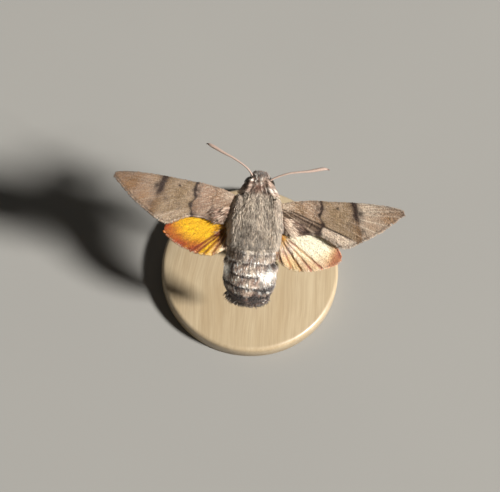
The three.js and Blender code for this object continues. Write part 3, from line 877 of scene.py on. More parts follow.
# %% The forewing's outline and veins, in mm: x out from the root, y forward
FOREWING = {
    "length": 20.8,
    "lead": curve([
        [0, 1.2], [1.3, 1.8], [5.5, 2.1], [8.5, 1.85], [13.4, 1.45], [17.8, 0.8], [20, 0.25], [20.8, -0.1],
    ]),
    "trail": curve([
        [0, -1.5], [1.2, -2.7], [2.8, -3.1], [5, -2.9], [7.6, -3.4], [9.6, -4.7], [10.7, -5.35], [11.9, -5.2],
        [14.3, -4.25], [17, -3.0], [19.2, -1.55], [20.8, -0.5],
    ]),
    "camber": 0.012,
    # Each vein runs out along x through [x, y] points: the cell's two stems, then their branches.
    "veins": [
        [[0, 0.8], [5, 1.75], [12.5, 1.5]],
        [[0, 0.3], [4, 0.95], [9.6, 0.75], [12, 0.8], [17, 0.85]],
        [[6.5, 0.9], [10, 1.2], [15, 1.2]],
        [[9.6, 0.75], [14, 0.5], [18.8, 0.45]],
        [[9.9, 0.6], [14, 0.1], [20.3, -0.15]],
        [[9.8, 0.4], [14, -0.4], [20.2, -1.0]],
        [[9.9, -0.1], [13.5, -1.1], [18.2, -2.4]],
        [[9.7, -0.7], [13, -1.9], [16.5, -3.5]],
        [[9.0, -1.0], [11.5, -2.5], [14.6, -4.5]],
        [[7.2, -1.1], [9.6, -3.0], [12.6, -5.4]],
        [[0, -0.3], [4, -0.8], [7.2, -1.1], [9.7, -0.7]],
        [[0, -0.9], [4, -2.2], [8, -3.9], [10.7, -5.8]],
    ],
}
print("forewing", FOREWING["length"], "mm long with", len(FOREWING["veins"]), "veins")

# %% The hindwing's outline and veins
HINDWING = {
    "length": 11.9,
    "lead": curve([[0, 0.8], [2.5, 1.4], [6, 1.7], [9, 1.3], [10.9, 0.55], [11.9, -0.35]]),
    "trail": curve([
        [0, -1.5], [1.0, -3.0], [2.2, -4.1], [3.6, -4.8], [5, -5.0], [7, -4.5], [9, -3.5], [10.8, -2.2],
        [11.6, -1.35], [11.9, -0.9],
    ]),
    "camber": 0.006,
    "veins": [
        [[0, 0.4], [4, 1.2], [9.4, 1.05]],
        [[3.2, 0.5], [7, 0.6], [11.4, 0.0]],
        [[4.8, 0.2], [8, -0.2], [11.7, -0.9]],
        [[4.9, -0.3], [8, -1.2], [10.8, -2.1]],
        [[4.7, -0.8], [7.2, -2.0], [9.2, -3.3]],
        [[4.2, -1.1], [6.2, -2.6], [7.6, -4.1]],
        [[3.0, -1.0], [4.6, -3.0], [5.8, -4.8]],
        [[0, -0.2], [3.0, -0.9], [4.8, -0.6]],
        [[0, -0.4], [1.9, -2.5], [3.3, -4.6]],
        [[0, -0.8], [0.9, -2.2], [1.7, -3.6]],
    ],
}
print("hindwing", HINDWING["length"], "mm long with", len(HINDWING["veins"]), "veins")

# %% How each wing is held
WINGS = {
    # Held is in degrees: forward sweep, dihedral, the twist at the tip, and the bend behind the crease.
    # Folds are the angles, behind the x axis, of the hindwing's narrow folds. The last value is how much
    # painted
    # light a wing carries: a painted glare that turns the hindwing cream, painted highlights on the
    # forewing's outer part and veins, and painted shade and highlight on the panel behind the crease and
    # along the crease.
    # The right wings carry the most. It also sets how many hairs cover a wing's root.
    "forewing_left": {
        "shape": FOREWING, "side": 1, "root": (3.0, 1.8, 1.9), "held": (10, 14, 9, 4), "pleat": 0,
        "folds": (), "worn": 0.25,
    },
    "forewing_right": {
        "shape": FOREWING, "side": -1, "root": (3.1, 1.1, 1.9), "held": (8.5, 12, 7, 9), "pleat": 0,
        "folds": (), "worn": 1.0,
    },
    "hindwing_left": {
        "shape": HINDWING, "side": 1, "root": (3.0, -0.3, 0.85), "held": (-9, 13, 6, 0), "pleat": 0.16,
        "folds": (0.5, 0.59, 0.7, 0.84, 1.02), "worn": 0.0,
    },
    "hindwing_right": {
        "shape": HINDWING, "side": -1, "root": (3.1, -0.8, 0.7), "held": (-15, 10, 0, 0), "pleat": 0.3,
        "folds": (0.32, 0.46, 0.61, 0.77, 0.96), "worn": 0.9,
    },
}
CREASE_FROM = 1.6  # mm forward at the root, where the forewing's crease starts
CREASE_SLOPE = -0.5  # mm it goes back for each mm out
print("wings:", ", ".join(WINGS))

# %% Folds and veins
PLEATS = 6.5  # of the hindwing's fan, for each radian
PLEAT_REACH = 5  # mm from the root, where the fan is open
VEIN_WIDTH = 0.2  # mm


def fold_lines(wing, x, y):
    """Narrow folds of the hindwing along rays from its root: 1 in the bottom of one, 0 between them."""
    turn, reach = np.arctan2(-y, x + 0.3), np.hypot(x, y)
    depth = 0 * x
    for ray in wing["folds"]:
        depth = np.maximum(depth, hill((turn - ray) * np.maximum(reach, 1), 0, 0.36))
    return depth * smooth(1.2, 3.0, reach)


def wing_fold(x, y):
    """The hindwing's fan folds by the angle about the root: 0 on a crest and 1 in a valley."""
    turn = np.arctan2(-y, x)
    opening = smooth(0.1, 0.8, turn) * np.minimum(1, np.hypot(x, y) / PLEAT_REACH)
    return (1 - np.cos(2 * PLEATS * turn)) / 2 * opening


def vein_ridge(shape, x, y):
    """How close a wing's place is to a vein: 1 on it, 0 away from it. Veins thin out towards the margin."""
    ridge = 0 * x
    for points in shape["veins"]:
        path, (start, end) = curve(points), (points[0][0], points[-1][0])
        slope = (path(x + 0.05) - path(x - 0.05)) / 0.1
        away_from = (y - path(x)) / np.sqrt(1 + slope**2)
        inside = smooth(start - 0.2, start + 0.1, x) * (1 - smooth(end, end + 0.3, x))
        thinning = 1 - 0.5 * x / shape["length"]
        ridge = np.maximum(ridge, hill(away_from, 0, VEIN_WIDTH) * inside * thinning)
    return np.maximum(ridge, hill(y, shape["lead"](x), 0.35))


# %% Places on a wing
TIP_RISE = 0.7  # mm that a wing curves up towards its tip
FOLD_DEPTH = 0.14  # mm
SHEET = 0.1  # mm thick
VEIN_HEIGHT = 0.09  # mm


def on_wing(wing, x, y, above, out=0.0):
    """World points on a wing, from its own x (out from the root) and y (forward). Above is 1 on the upper
    face and -1 on the lower, and out is in mm from that face."""
    shape, root, side = wing["shape"], wing["root"], wing["side"]
    sweep, dihedral, twist, crease = np.radians(wing["held"])
    share = x / shape["length"]
    z = -y * np.tan(twist * share) - shape["camber"] * y * y * (1 - share / 2) + TIP_RISE * share**2
    z = z - np.maximum(0, CREASE_FROM + CREASE_SLOPE * x - y) * np.tan(crease)
    z = z - wing["pleat"] * wing_fold(x, y) - FOLD_DEPTH * fold_lines(wing, x, y)
    z = z + above * (SHEET / 2 + VEIN_HEIGHT * vein_ridge(shape, x, y) + out)
    span = x * np.cos(sweep) - y * np.sin(sweep)
    forward = x * np.sin(sweep) + y * np.cos(sweep)
    return to_world(
        side * (root[0] + span * np.cos(dihedral) - z * np.sin(dihedral)),
        -(root[1] + forward),
        root[2] + span * np.sin(dihedral) + z * np.cos(dihedral),
    )


for name, wing in WINGS.items():
    print(f"{name}'s tip is at", np.round(on_wing(wing, wing["shape"]["length"], 0.0, 1) / MM, 1), "mm")

# %% [markdown]
# ## The marks on the wings
#
# The forewing is brown like bark, crossed by dark wavy lines: one at a third of its length, where the wing's
# inner part ends, and a pair past the middle that is strongest near the front edge. A dark dot marks the end
# of the cell. Behind the crease the inner part is streaked like fur under a painted shade, the outer part of
# that panel has a painted highlight, and a painted shade runs along the crease. The outer part and the outer
# veins get painted highlights. The hindwing is deep yellow with a burnt orange margin, and pales to cream
# where it folds like a fan against the body. Its narrow folds hold a painted brown shade, and a painted
# shadow lies along its edge by the body. The painted glare and highlights are strongest on the right wings,
# where a painted glare turns the hindwing mostly cream. Below, both wings are tawny.

# %% Forewing marks
INNER_LINE = curve([[-4, 6.6], [-2.9, 7.1], [-1.7, 7.65], [-0.4, 7.05], [0.6, 7.6], [1.8, 7.4]])  # x by y
OUTER_LINE = curve([[-3.5, 13.6], [-0.9, 13.1], [0.2, 12.9], [1.2, 12.7], [2, 12.6]])
print("dark lines cross the forewing", INNER_LINE(0.0).round(1), "and", OUTER_LINE(0.0).round(1), "mm out")


def forewing_marks(wing, x, y, above):
    trail = FOREWING["trail"](x)
    fine = ripple(21, 0.3, x, y * 1.6)
    cloud = ripple(22, 1.8, x, y)
    rays = ripple(25, 0.07, np.arctan2(1.5 - y, x))
    inner_line = INNER_LINE(y) + 0.07 * ripple(23, 0.8, x, y)
    outer_line = OUTER_LINE(y) + 0.1 * ripple(24, 0.7, x, y)
    crease = CREASE_FROM + CREASE_SLOPE * x - y + 0.25
    # The panel behind the crease gets painted light: painted shade on its inner part, which is also streaked
    # like fur, and a painted highlight on its outer part
    behind = smooth(0, 0.3, crease) * wing["worn"]
    inside = 1 - smooth(-0.12, 0.12, x - inner_line)
    beyond = smooth(0, 0.5, x - outer_line)
    near_front = smooth(-2.4, -0.2, y)
    spots = hill(y, 0.75, 0.6) + hill(y, -0.1, 0.5) + hill(y, -1.7, 0.7) + hill(y, -3.2, 0.8)

    dark = hill(x, inner_line, 0.42 + 0.3 * spots) * (0.9 + 0.15 * spots)
    dark += hill(x, inner_line - 0.7, 1.0) * (0.2 + 0.35 * hill(y, 0.8, 1.3)) * inside
    dark += hill(x, 4.15 + 0.2 * np.cos(3 * y), 0.35) * 0.4 * (1 - behind)
    dark += hill(x, outer_line, 1.1) * (0.16 + 0.8 * near_front) + hill(x, outer_line - 0.2, 2.4) * 0.18
    dark += hill(x, outer_line + 0.95, 0.7) * (0.12 + 0.5 * hill(y, -0.3, 0.9))
    dark += hill(np.hypot(x - 10.1, y - 0.7), 0, 0.4) + hill(np.hypot(x - 9.4, y + 2.2), 0, 0.8) * 0.15
    dark += hill(np.hypot(x - 11.8, y + 1.9), 0, 0.9) * 0.4 + hill(np.hypot(x - 14, y + 3.2), 0, 1.0) * 0.3
    # Painted shade along the crease
    dark += hill(crease, 0.02, 0.34) * (1 - smooth(11.6, 12.6, x)) * smooth(1.5, 3, x) * 0.85 * wing["worn"]
    dark += behind * (1 - inside) * 0.3 * smooth(0.2, 0.9, -fine)
    dark += behind * inside * (0.3 + 0.5 * rays) + smooth(12.5, 18, x) * 0.28
    dark += hill(y, trail, 0.4) * 0.25 + hill(y, FOREWING["lead"](x), 0.6) * 0.25
    dark += beyond * 0.1 * rays + 0.1 * fine + 0.08 * cloud

    tawny = smooth(12.5, 16, x) * 0.5 + hill(x, outer_line, 1.6) * 0.3 + inside * (1 - behind) * 0.15
    warm = beyond * 0.2 + behind * (1 - inside) * 0.9 + inside * (0.7 - 0.35 * wing["worn"]) + 0.15 * cloud
    pale = 0.08 + 0.12 * cloud + 0.12 * fine + behind * (1 - inside) * (0.85 + 0.4 * fine)
    # Painted highlights on the outer part and on the outer veins, which are also faintly pale on every wing
    pale += beyond * (0.42 + 0.15 * rays) * (1 - 0.6 * smooth(16, 20, x)) * wing["worn"] + inside * 0.08
    pale += vein_ridge(FOREWING, x, y) * (0.12 + 0.5 * smooth(11, 15, x) * wing["worn"])
    pale += behind * inside * (0.15 - 0.45 * rays) + inside * (1 - behind) * smooth(0.3, 1.1, fine) * 0.4
    pale += hill(x, 1.8, 2.6) * smooth(-0.4, 1.2, y) * 0.3
    strength = np.where(above > 0, 1, 0.35)
    return {
        "warm": np.clip(warm, 0, 1) * strength,
        "pale": np.clip(pale, 0, 0.95) * strength,
        "dark": np.clip(dark, 0, 0.95) * strength,
        "under": np.where(above > 0, tawny, 0.85),
    }


# %% Hindwing marks
print("narrow folds:", {name: len(wing["folds"]) for name, wing in WINGS.items()})


def hindwing_marks(wing, x, y, above):
    turn, reach = np.arctan2(-y, x + 0.3), np.hypot(x, y)
    lead, trail = HINDWING["lead"](x), HINDWING["trail"](x)
    rays = ripple(31, 0.06, turn)
    to_margin = np.minimum(y - trail, (HINDWING["length"] - x) * 0.8) + 0.35 * rays
    folded = smooth(0.5, 0.66, turn)
    # Painted shade in the bottom of each narrow fold: darker, browner and less pale there
    fold_shade = fold_lines(wing, x, y)
    out_of_root = smooth(0.8, 2.4, reach)
    # Painted glare, as much as the wing carries painted light: it turns the hindwing pale cream and takes
    # away its orange
    worn = wing["worn"] * out_of_root
    ends = 1 - smooth(0.4, 3.0, to_margin)
    tip = smooth(9.4, 11.0, x)
    warm = ends * (1 - 0.9 * folded) * 0.95 * (1 - 0.6 * worn * (1 - tip))
    warm += (1 - smooth(0.1, 0.7, lead - y)) * 0.6 * (1 - worn) + 0.1 * rays + hill(x, 3.2, 1.6) * 0.25
    anal = folded * (0.05 + 0.15 * rays + 0.5 * ends * smooth(0.8, 1.0, turn))
    # Painted glare: cream over the wing, less at the margin and the tip
    pale = np.maximum(anal, worn * (0.95 - 0.5 * ends) * (1 - 0.7 * tip)) * out_of_root
    pale = pale * (1 - 0.7 * fold_shade)
    dark = fold_shade * (0.5 - 0.4 * wing["worn"]) + (1 - smooth(0.6, 2.6, reach)) * 0.3
    dark += hill(to_margin, 0, 0.3) * 0.15
    # Painted shadow of the body on the strip of wing beside it, and faintly dark veins
    dark += smooth(1.15, 1.3, turn) * 0.7 + vein_ridge(HINDWING, x, y) * 0.12
    strength = np.where(above > 0, 1, 0.6)
    return {
        "warm": np.clip(warm + fold_shade * 0.55, 0, 1) * strength,
        "pale": np.clip(pale, 0, 0.95),
        "dark": np.clip(dark, 0, 0.9) * strength,
        "under": np.where(above > 0, worn * ends * 0.5, 0.7),
    }


# %% Wing sheets
SHEET_STEPS = (150, 48)  # of a sheet's grid, along and across it
SKIN_IN = -0.03  # mm that the sheet lies inside the places where scales root
COATS = {
    "forewing": (forewing_marks, forewing_finish, "forewing_scales"),
    "hindwing": (hindwing_marks, hindwing_finish, "hindwing_scales"),
}
for name, wing in WINGS.items():
    shape = wing["shape"]
    marks, finish, slot = COATS[name.split("_")[0]]
    bm = bmesh.new()
    bmesh.ops.create_grid(bm, x_segments=SHEET_STEPS[0], y_segments=SHEET_STEPS[1], size=0.5)

    def grid_to_outline(u, v, w):
        x = shape["length"] * (u + 0.5)
        return np.stack([x, shape["trail"](x) * (0.5 - v) + shape["lead"](x) * (0.5 + v), w], axis=-1)

    reshape(bm, grid_to_outline)
    bmesh.ops.solidify(bm, geom=bm.faces, thickness=SHEET)
    x, y, z = np.array([v.co for v in bm.verts]).T
    above = np.where(z > (z.min() + z.max()) / 2, 1, -1)
    reshape(bm, lambda x, y, z: on_wing(wing, x, y, above, SKIN_IN))
    sheet = object_from(name + "_sheet", face_out(bm), finish)
    write_attributes(sheet.data, along=0.4, shade=0.45, **marks(wing, x, y, above))
    piece(sheet, slot, name)

# %% [markdown]
# ## Scales on the wings
#
# A wing's scales overlap like roof tiles, with their tips towards the margin. They are flat, so each is a
# low kite of six triangles: a root, two shoulders, a tip and a raised middle. Real ones are about a tenth of
# a millimetre long. These are two to three times that, so that a wing needs tens of thousands of them and
# not hundreds of thousands. Longer hairs cover the roots and the folds, and a fringe runs along the margin.

# %% Roof-tile scales
WING_SCALES = {"forewing": 32500, "hindwing": 19000}
WING_SCALE_LENGTH = 0.27  # mm
WING_SCALE_WIDTH = 0.13  # mm
KITE = np.array([[0, 0, -0.02], [0.6, 0.5, 0.03], [0.6, -0.5, 0.03], [1, 0, 0.03], [0.5, 0, 0.07]])
KITE_FACES = [(0, 3, 1), (0, 2, 3), (0, 1, 4), (1, 3, 4), (3, 2, 4), (2, 0, 4)]
KITE_LIFT = 0.035  # mm that a tip stands off


def lay_wing_scales(name, wing, seed):
    """Covers both faces of a wing. A scale points away from the root, and every other one is below."""
    shape, side = wing["shape"], wing["side"]
    kind = name.split("_")[0]
    marks, finish, slot = COATS[kind]
    count, length, width = WING_SCALES[kind], WING_SCALE_LENGTH, WING_SCALE_WIDTH
    rng = np.random.default_rng(seed)
    along = np.linspace(0, 20, 99)
    lowest, highest = shape["trail"](along).min(), shape["lead"](along).max()
    x, y = even_places(rng, count, (0.3, shape["length"] + 0.05, 1), (lowest, highest, 1.6))
    lead, trail = shape["lead"](x), shape["trail"](x)
    kept = (y > trail) & (y < lead)
    x, y, across = x[kept], y[kept], ((y - trail) / (lead - trail))[kept]
    count = len(x)
    above = np.where(rng.permutation(count) % 2, 1.0, -1.0)
    heading = np.arctan2(y, x + 1.5) + rng.normal(size=count) * 0.16
    long = length * rng.uniform(0.75, 1.25, count)
    wide = width * rng.uniform(0.8, 1.2, count)
    ahead = KITE[:, 0] * long[:, None]
    beside = KITE[:, 1] * wide[:, None]
    up = KITE[:, 2] + KITE[:, 0] * KITE_LIFT * rng.uniform(0.2, 1.8, (count, 1))
    px = x[:, None] + ahead * np.cos(heading)[:, None] - beside * np.sin(heading)[:, None]
    py = y[:, None] + ahead * np.sin(heading)[:, None] + beside * np.cos(heading)[:, None]
    px = np.minimum(px, shape["length"] + 0.2)
    verts = on_wing(wing, px, py, above[:, None], up)
    turned_over = above * side < 0
    verts[turned_over] = verts[turned_over][:, [0, 2, 1, 3, 4]]
    half_map = np.where(above > 0, 0.01, 0.51)
    spots = np.stack([half_map + 0.48 * x / shape["length"], 0.01 + 0.98 * across], axis=-1)
    spots = spots[:, None] + KITE[:, :2] * (PATCH, PATCH)
    made = flakes(
        name, verts, KITE_FACES, spots, finish, along=KITE[:, 0] * 0.6 + 0.4,
        shade=rng.uniform(0, 1, count), **marks(wing, x, y, above),
    )
    return piece(made, slot)


for i, (name, wing) in enumerate(WINGS.items()):
    lay_wing_scales(name + "_scales", wing, seed=41 + i)

# %% Hairs on the wing roots and folds, and the fringe along the margin


def wing_lines(wing, x, y, heading, long, start, stand, above):
    """Lines that lie along a wing from each root."""
    ahead = long[:, None] * RINGS_SHORT[None, :]
    px = x[:, None] + ahead * np.cos(heading)[:, None]
    py = y[:, None] + ahead * np.sin(heading)[:, None]
    return on_wing(wing, px, py, above, start + stand[:, None] * RINGS_SHORT[None, :])


def lay_wing_hair(name, wing, fringe_count, root_count, seed):
    """The fringe hangs over the margin behind, and the root hairs lie over the folds."""
    shape = wing["shape"]
    marks, finish, slot = COATS[name.split("_")[0]]
    rng = np.random.default_rng(seed)
    x = np.sort(rng.uniform(0.8, shape["length"], fringe_count))
    edge_slope = (shape["trail"](x + 0.1) - shape["trail"](x - 0.1)) / 0.2
    outwards = np.arctan2(-1, edge_slope) + 0.35 + rng.normal(size=fringe_count) * 0.15
    y = shape["trail"](x) + 0.1
    above = np.zeros(fringe_count)[:, None]
    long = rng.uniform(0.4, 0.75, fringe_count)
    fringe = wing_lines(wing, x, y, outwards, long, 0.0, rng.normal(size=fringe_count) * 0.06, above)

    turn = rng.uniform(0.36, 1.25 if shape is HINDWING else 0.95, root_count)
    reach = rng.uniform(0.5, 3.4, root_count)
    rx, ry = reach * np.cos(turn), -reach * np.sin(turn)
    inside = ry > shape["trail"](rx) + 0.1
    rx, ry, turn = rx[inside], ry[inside], turn[inside]
    root_count = len(rx)
    long_hair = rng.uniform(1.2, 2.4, root_count)
    heading = -turn + rng.normal(size=root_count) * 0.1
    stand = rng.uniform(0.05, 0.22, root_count)
    hair = wing_lines(wing, rx, ry, heading, long_hair, 0.02, stand, np.ones((root_count, 1)))
    line = np.concatenate([fringe, hair])
    x, y = np.concatenate([x, rx]), np.concatenate([y, ry])
    outward = on_wing(wing, x, y, 1, 1.0) - on_wing(wing, x, y, 1, 0.0)
    masks = marks(wing, x, y, np.ones(len(x)))
    on_root = np.arange(len(x)) >= fringe_count
    masks["dark"] = np.clip(masks["dark"] + rng.uniform(-0.25, 0.35, len(x)), 0, 0.9)
    masks["pale"] = np.clip(masks["pale"] + (rng.uniform(0, 1, len(x)) < 0.2) * 0.35, 0, 0.9)
    masks["warm"] = np.clip(masks["warm"] + 0.4 * on_root, 0, 1)
    wide = np.where(np.arange(len(x)) < fringe_count, 0.11, 0.1) * rng.uniform(0.8, 1.2, len(x))
    across = (y - shape["trail"](x)) / (shape["lead"](x) - shape["trail"](x))
    at_map = 0.01 + 0.48 * x / shape["length"], 0.02 + 0.96 * np.clip(across, 0, 1)
    made = hair_piece(
        name, line, outward[:, None], wide, PROFILE_SHORT, at_map, finish,
        shade=rng.uniform(0.1, 1, len(x)), **masks,
    )
    return piece(made, slot)


FRINGE = {"forewing": 900, "hindwing": 500}
for i, (name, wing) in enumerate(WINGS.items()):
    # Wings that carry more painted light also get more hairs on their roots
    root_hairs = round(200 + 600 * wing["worn"])
    lay_wing_hair(name + "_hair", wing, FRINGE[name.split("_")[0]], root_hairs, seed=61 + i)

# %% [markdown]
# ## Coats on lobes and limbs
#
# The lobes over the wing roots, the palps and the legs are small rounded shapes of their own. Scales on the
# legs, and a tuft that covers the face between the eyes, are combed: each lies as near to one direction as
# the surface under it lets it. Those on a lobe or a palp follow it from end to end and hang over its edge.

# %% Combed coats


def comb_coat(name, root, normal, comb, length, width, stand, at_map, slot, seed, **numbers):
    """Scales from root points, laid along the comb direction as far as the surface allows. Stand is the rise
    of the tip as a share of the length."""
    rng = np.random.default_rng(seed)
    count = len(root)
    normal, comb = unit(normal), unit(np.broadcast_to(comb, root.shape))
    into_skin = 0.9 * (comb * normal).sum(-1, keepdims=True) * normal
    lie = unit(comb - into_skin + 0.14 * rng.normal(size=root.shape))
    long = (length * rng.uniform(0.75, 1.2, count) * MM)[:, None, None]
    t = RINGS_SHORT[None, :, None]
    rise = (stand * rng.uniform(0.4, 1.4, count))[:, None, None]
    start = root[:, None] - normal[:, None] * 0.05 * MM
    line = start + long * (lie[:, None] * t + normal[:, None] * rise * t)
    made = hair_piece(
        name, line, normal[:, None], width * rng.uniform(0.75, 1.25, count), PROFILE_SHORT, at_map,
        body_scales, shade=rng.uniform(0, 1, count), **numbers,
    )
    return piece(made, slot)


def moth_vector(aside, back, up):
    """A direction of the moth's frame in the world."""
    return to_world(*np.array([aside, back, up], float)) - to_world(0.0, 0.0, 0.0)


print("the moth's own forward in the world:", np.round(unit(moth_vector(0, -1, 0)), 2))

# %% A tuft on the face, laid forward over the palps
rng = np.random.default_rng(90)
s, turn = even_places(rng, 1400, (0.25, 1.5, 1), (-1.1, 1.1, 1.5))
root = on_body(s, turn)
comb_coat(
    "face_tuft", root, on_body(s, turn, 1.0) - root, moth_vector(0, -0.9, -0.35), 0.85, 0.08, 0.3,
    (turn / 8 + 0.5, s), "coat_olive", seed=91, **body_marks(s, turn),
)

# %% Coats of the lobes and the palps
LOBE_END = 2.2  # how far down a lobe its scales follow it, in radians, before they run on straight


def coat_lobe(name, lobe, turning, side, count, length, width, stand, slot, seed, numbers, forward=False):
    """Scales that start on a lobe, follow it towards its back end and run on over what lies behind, or the
    other way round."""
    rng = np.random.default_rng(seed)
    around, down = even_places(rng, count, (-np.pi, np.pi, 1), (0.1, 2.75, 2))
    count = len(down)
    long = length * rng.uniform(0.7, 1.2, count)
    wander = rng.normal(size=count) * 0.16
    t = RINGS_LONG[None, :]
    half_length = lobe["radii"][1] - LOBE_COAT
    reach = down[:, None] + long[:, None] / half_length * t
    on_it = np.minimum(reach, np.maximum(LOBE_END, down[:, None]))
    past_end = reach - on_it
    turned = around[:, None] + wander[:, None] * t
    out = -0.05 + (stand * rng.uniform(0.3, 1.3, count))[:, None] * t
    if forward:
        down, on_it = np.pi - down, np.pi - on_it
    onward = moth_vector(*(turning(side) @ Vector((0, -1 if forward else 1, -0.12))))
    line = on_lobe(lobe, turning, side, turned, on_it, out) + past_end[..., None] * half_length * onward
    outward = on_lobe(lobe, turning, side, around, down, 0.5) - on_lobe(lobe, turning, side, around, down)
    made = hair_piece(
        name, line, outward[:, None], width * rng.uniform(0.75, 1.25, count), PROFILE_LONG,
        (around / 6.4 + 0.5, down / 3), body_scales, shade=rng.uniform(0, 1, count), **numbers(around, down),
    )
    return piece(made, slot)


def tegula_marks(around, down):
    """Olive grey all over, a little streaked."""
    return {"warm": 0.1, "pale": 0.0, "dark": 0.12 + 0.1 * np.sin(7 * around), "under": 0.0}


def palp_marks(around, down):
    """Brown above and white below, as a palp's cheeks are."""
    upper = smooth(-0.2, 0.6, np.cos(around))
    cheek = (1 - upper) * smooth(0.9, 1.6, down)
    return {"warm": 0.55 * (1 - cheek), "pale": 0.1 + 0.6 * cheek, "dark": 0.4 * (1 - cheek), "under": cheek}


for side, place in SIDES:
    coat_lobe(
        f"tegula_coat_{place}", TEGULA, tegula_turn, side, 2800, 1.5, 0.12, 0.3, "coat_olive", 82 + side,
        numbers=tegula_marks,
    )
    coat_lobe(
        f"palp_coat_{place}", PALP, palp_turn, side, 900, 0.55, 0.09, 0.3, "coat_pale", 86 + side,
        numbers=palp_marks, forward=True,
    )

# %% [markdown]
# ## The eyes
#
# A hawk moth's eye is a bulging dome of thousands of lenses, dark brown with an olive bloom. Where the lenses
# point straight at you, no light comes back, so a black spot seems to float inside, with fainter ones round
# it. A real facet is a fortieth of a millimetre wide. The ones drawn here are coarser, so that they show as
# a fine pitting under the gloss.

# %% Eye lens cuticle: hard, clear and glossy over dark pigment
eye_cuticle, tree = material("eye_cuticle")
place = add(tree, "TexCoord").outputs["Object"]
facets = add(tree, "TexVoronoi", {"Vector": place, "Scale": 1 / (0.085 * MM)})
bloom = add(tree, "TexNoise", {"Vector": place, "Scale": 1 / (0.9 * MM), "Detail": 2.0})
tint = add(tree, "Mix", {0: bloom.outputs[0], 6: linear("#21170d"), 7: linear("#3d3120")}, data_type="RGBA")
spot = add(tree, "Attribute", attribute_name="spot").outputs["Fac"]
tint = add(tree, "Mix", {0: spot, 6: tint.outputs[2], 7: linear("#080605")}, data_type="RGBA")
inputs = {"Height": facets.outputs["Distance"], "Strength": 0.5, "Distance": 0.02 * MM}
pit = add(tree, "Bump", inputs, invert=True)
inputs = {
    "Base Color": tint.outputs[2], "Roughness": 0.25, "Specular IOR Level": 0.25, "Normal": pit.outputs[0],
    "Coat Weight": 0.25, "Coat Roughness": 0.06,
}
shader = add(tree, "BsdfPrincipled", inputs)
add(tree, "OutputMaterial", {"Surface": shader.outputs[0]})

# %% Eyes
EYE = {"s": 1.5, "aside": 1.5, "up": 0.1, "radii": (1.0, 1.15, 1.2)}
EYE_SPOTS = (
    # (outward, back, up) of where a spot faces, its size, and how black it is
    ((1, -0.25, 0.1), 0.35, 1.0), ((0.75, -0.25, 0.75), 0.22, 0.6), ((0.75, -0.3, -0.6), 0.22, 0.6),
    ((0.7, 0.55, 0.1), 0.22, 0.6), ((0.45, -0.95, 0.1), 0.22, 0.6),
)
eye_tilt = math.radians(float(HEADING(EYE["s"])))
for side, place in SIDES:
    bm = bmesh.new()
    bmesh.ops.create_uvsphere(bm, u_segments=72, v_segments=48, radius=1)
    ball = np.array([v.co for v in bm.verts])
    centre = np.array(beside_spine(EYE["s"], side * EYE["aside"], EYE["up"]), float)
    x, back, up = (ball * EYE["radii"]).T
    cos, sin = math.cos(eye_tilt), math.sin(eye_tilt)
    back, up = back * cos + up * sin, up * cos - back * sin
    reshape(bm, lambda *_: to_world(x + centre[0], back + centre[1], up + centre[2]))
    eye = object_from(f"eye_dome_{place}", face_out(bm), eye_cuticle)
    spots = 0
    for facing, size, depth in EYE_SPOTS:
        towards = np.linalg.norm(ball - unit(np.array(facing) * (side, 1, 1)), axis=-1)
        spots = np.maximum(spots, hill(towards, 0, size * 1.6) * depth)
    write_attributes(eye.data, spot=spots)
    piece(eye, "eye_lens", f"eye_{place}")

# %% [markdown]
# ## Tubes
#
# An antenna, the tongue and a leg's segments are all round rods along a path. Each starts as a ball whose
# poles become the rod's ends, so it is closed from the first.

# %% Rods along a path
NEAR = 0.004  # a share of a rod's length, for measuring which way it runs


def rod_along(path, radius, rings, sides, bend_plane=(0, 0, 1)):
    """A bmesh of a round rod in the world, and each vertex's share of its length and angle round it. The
    path gives (n, 3) points of the moth's frame by share, and the radius is in mm."""
    bm = bmesh.new()
    bmesh.ops.create_uvsphere(bm, u_segments=sides, v_segments=rings, radius=1)
    ball = np.array([v.co for v in bm.verts])
    t = np.arccos(np.clip(-ball[:, 2], -1, 1)) / np.pi
    around = np.arctan2(ball[:, 0], ball[:, 1])
    tangent = unit(path(np.clip(t + NEAR, 0, 1)) - path(np.clip(t - NEAR, 0, 1)))
    across = unit(np.cross(tangent, bend_plane))
    other = np.cross(across, tangent)
    width = (radius(t) * ((t > 0.0005) & (t < 0.9995)))[:, None]
    points = path(t) + width * (across * np.sin(around)[:, None] + other * np.cos(around)[:, None])
    reshape(bm, lambda *_: to_world(*points.T))
    return face_out(bm), t, around


def path_through(points):
    """A smooth path through (aside, back, up) points, by share of its length."""
    points = np.array(points, float)
    lengths = np.concatenate([[0], np.cumsum(np.linalg.norm(np.diff(points, axis=0), axis=1))])
    parts = [curve(np.stack([lengths / lengths[-1], points[:, i]], axis=1)) for i in range(3)]
    return lambda t: np.stack([part(t) for part in parts], axis=-1)


tried = path_through([(0, 0, 0), (0, 3, 0), (0, 6, 3)])
print("halfway along a bent path:", np.round(tried(0.5), 2))

# %% [markdown]
# ## The antennae
#
# They are slender at the root, thicken to a club near the end and hook over to a fine point. Each is a
# chain of some sixty short rings. Pale scales cover their upper sides, and the lower sides are bare and
# brown.

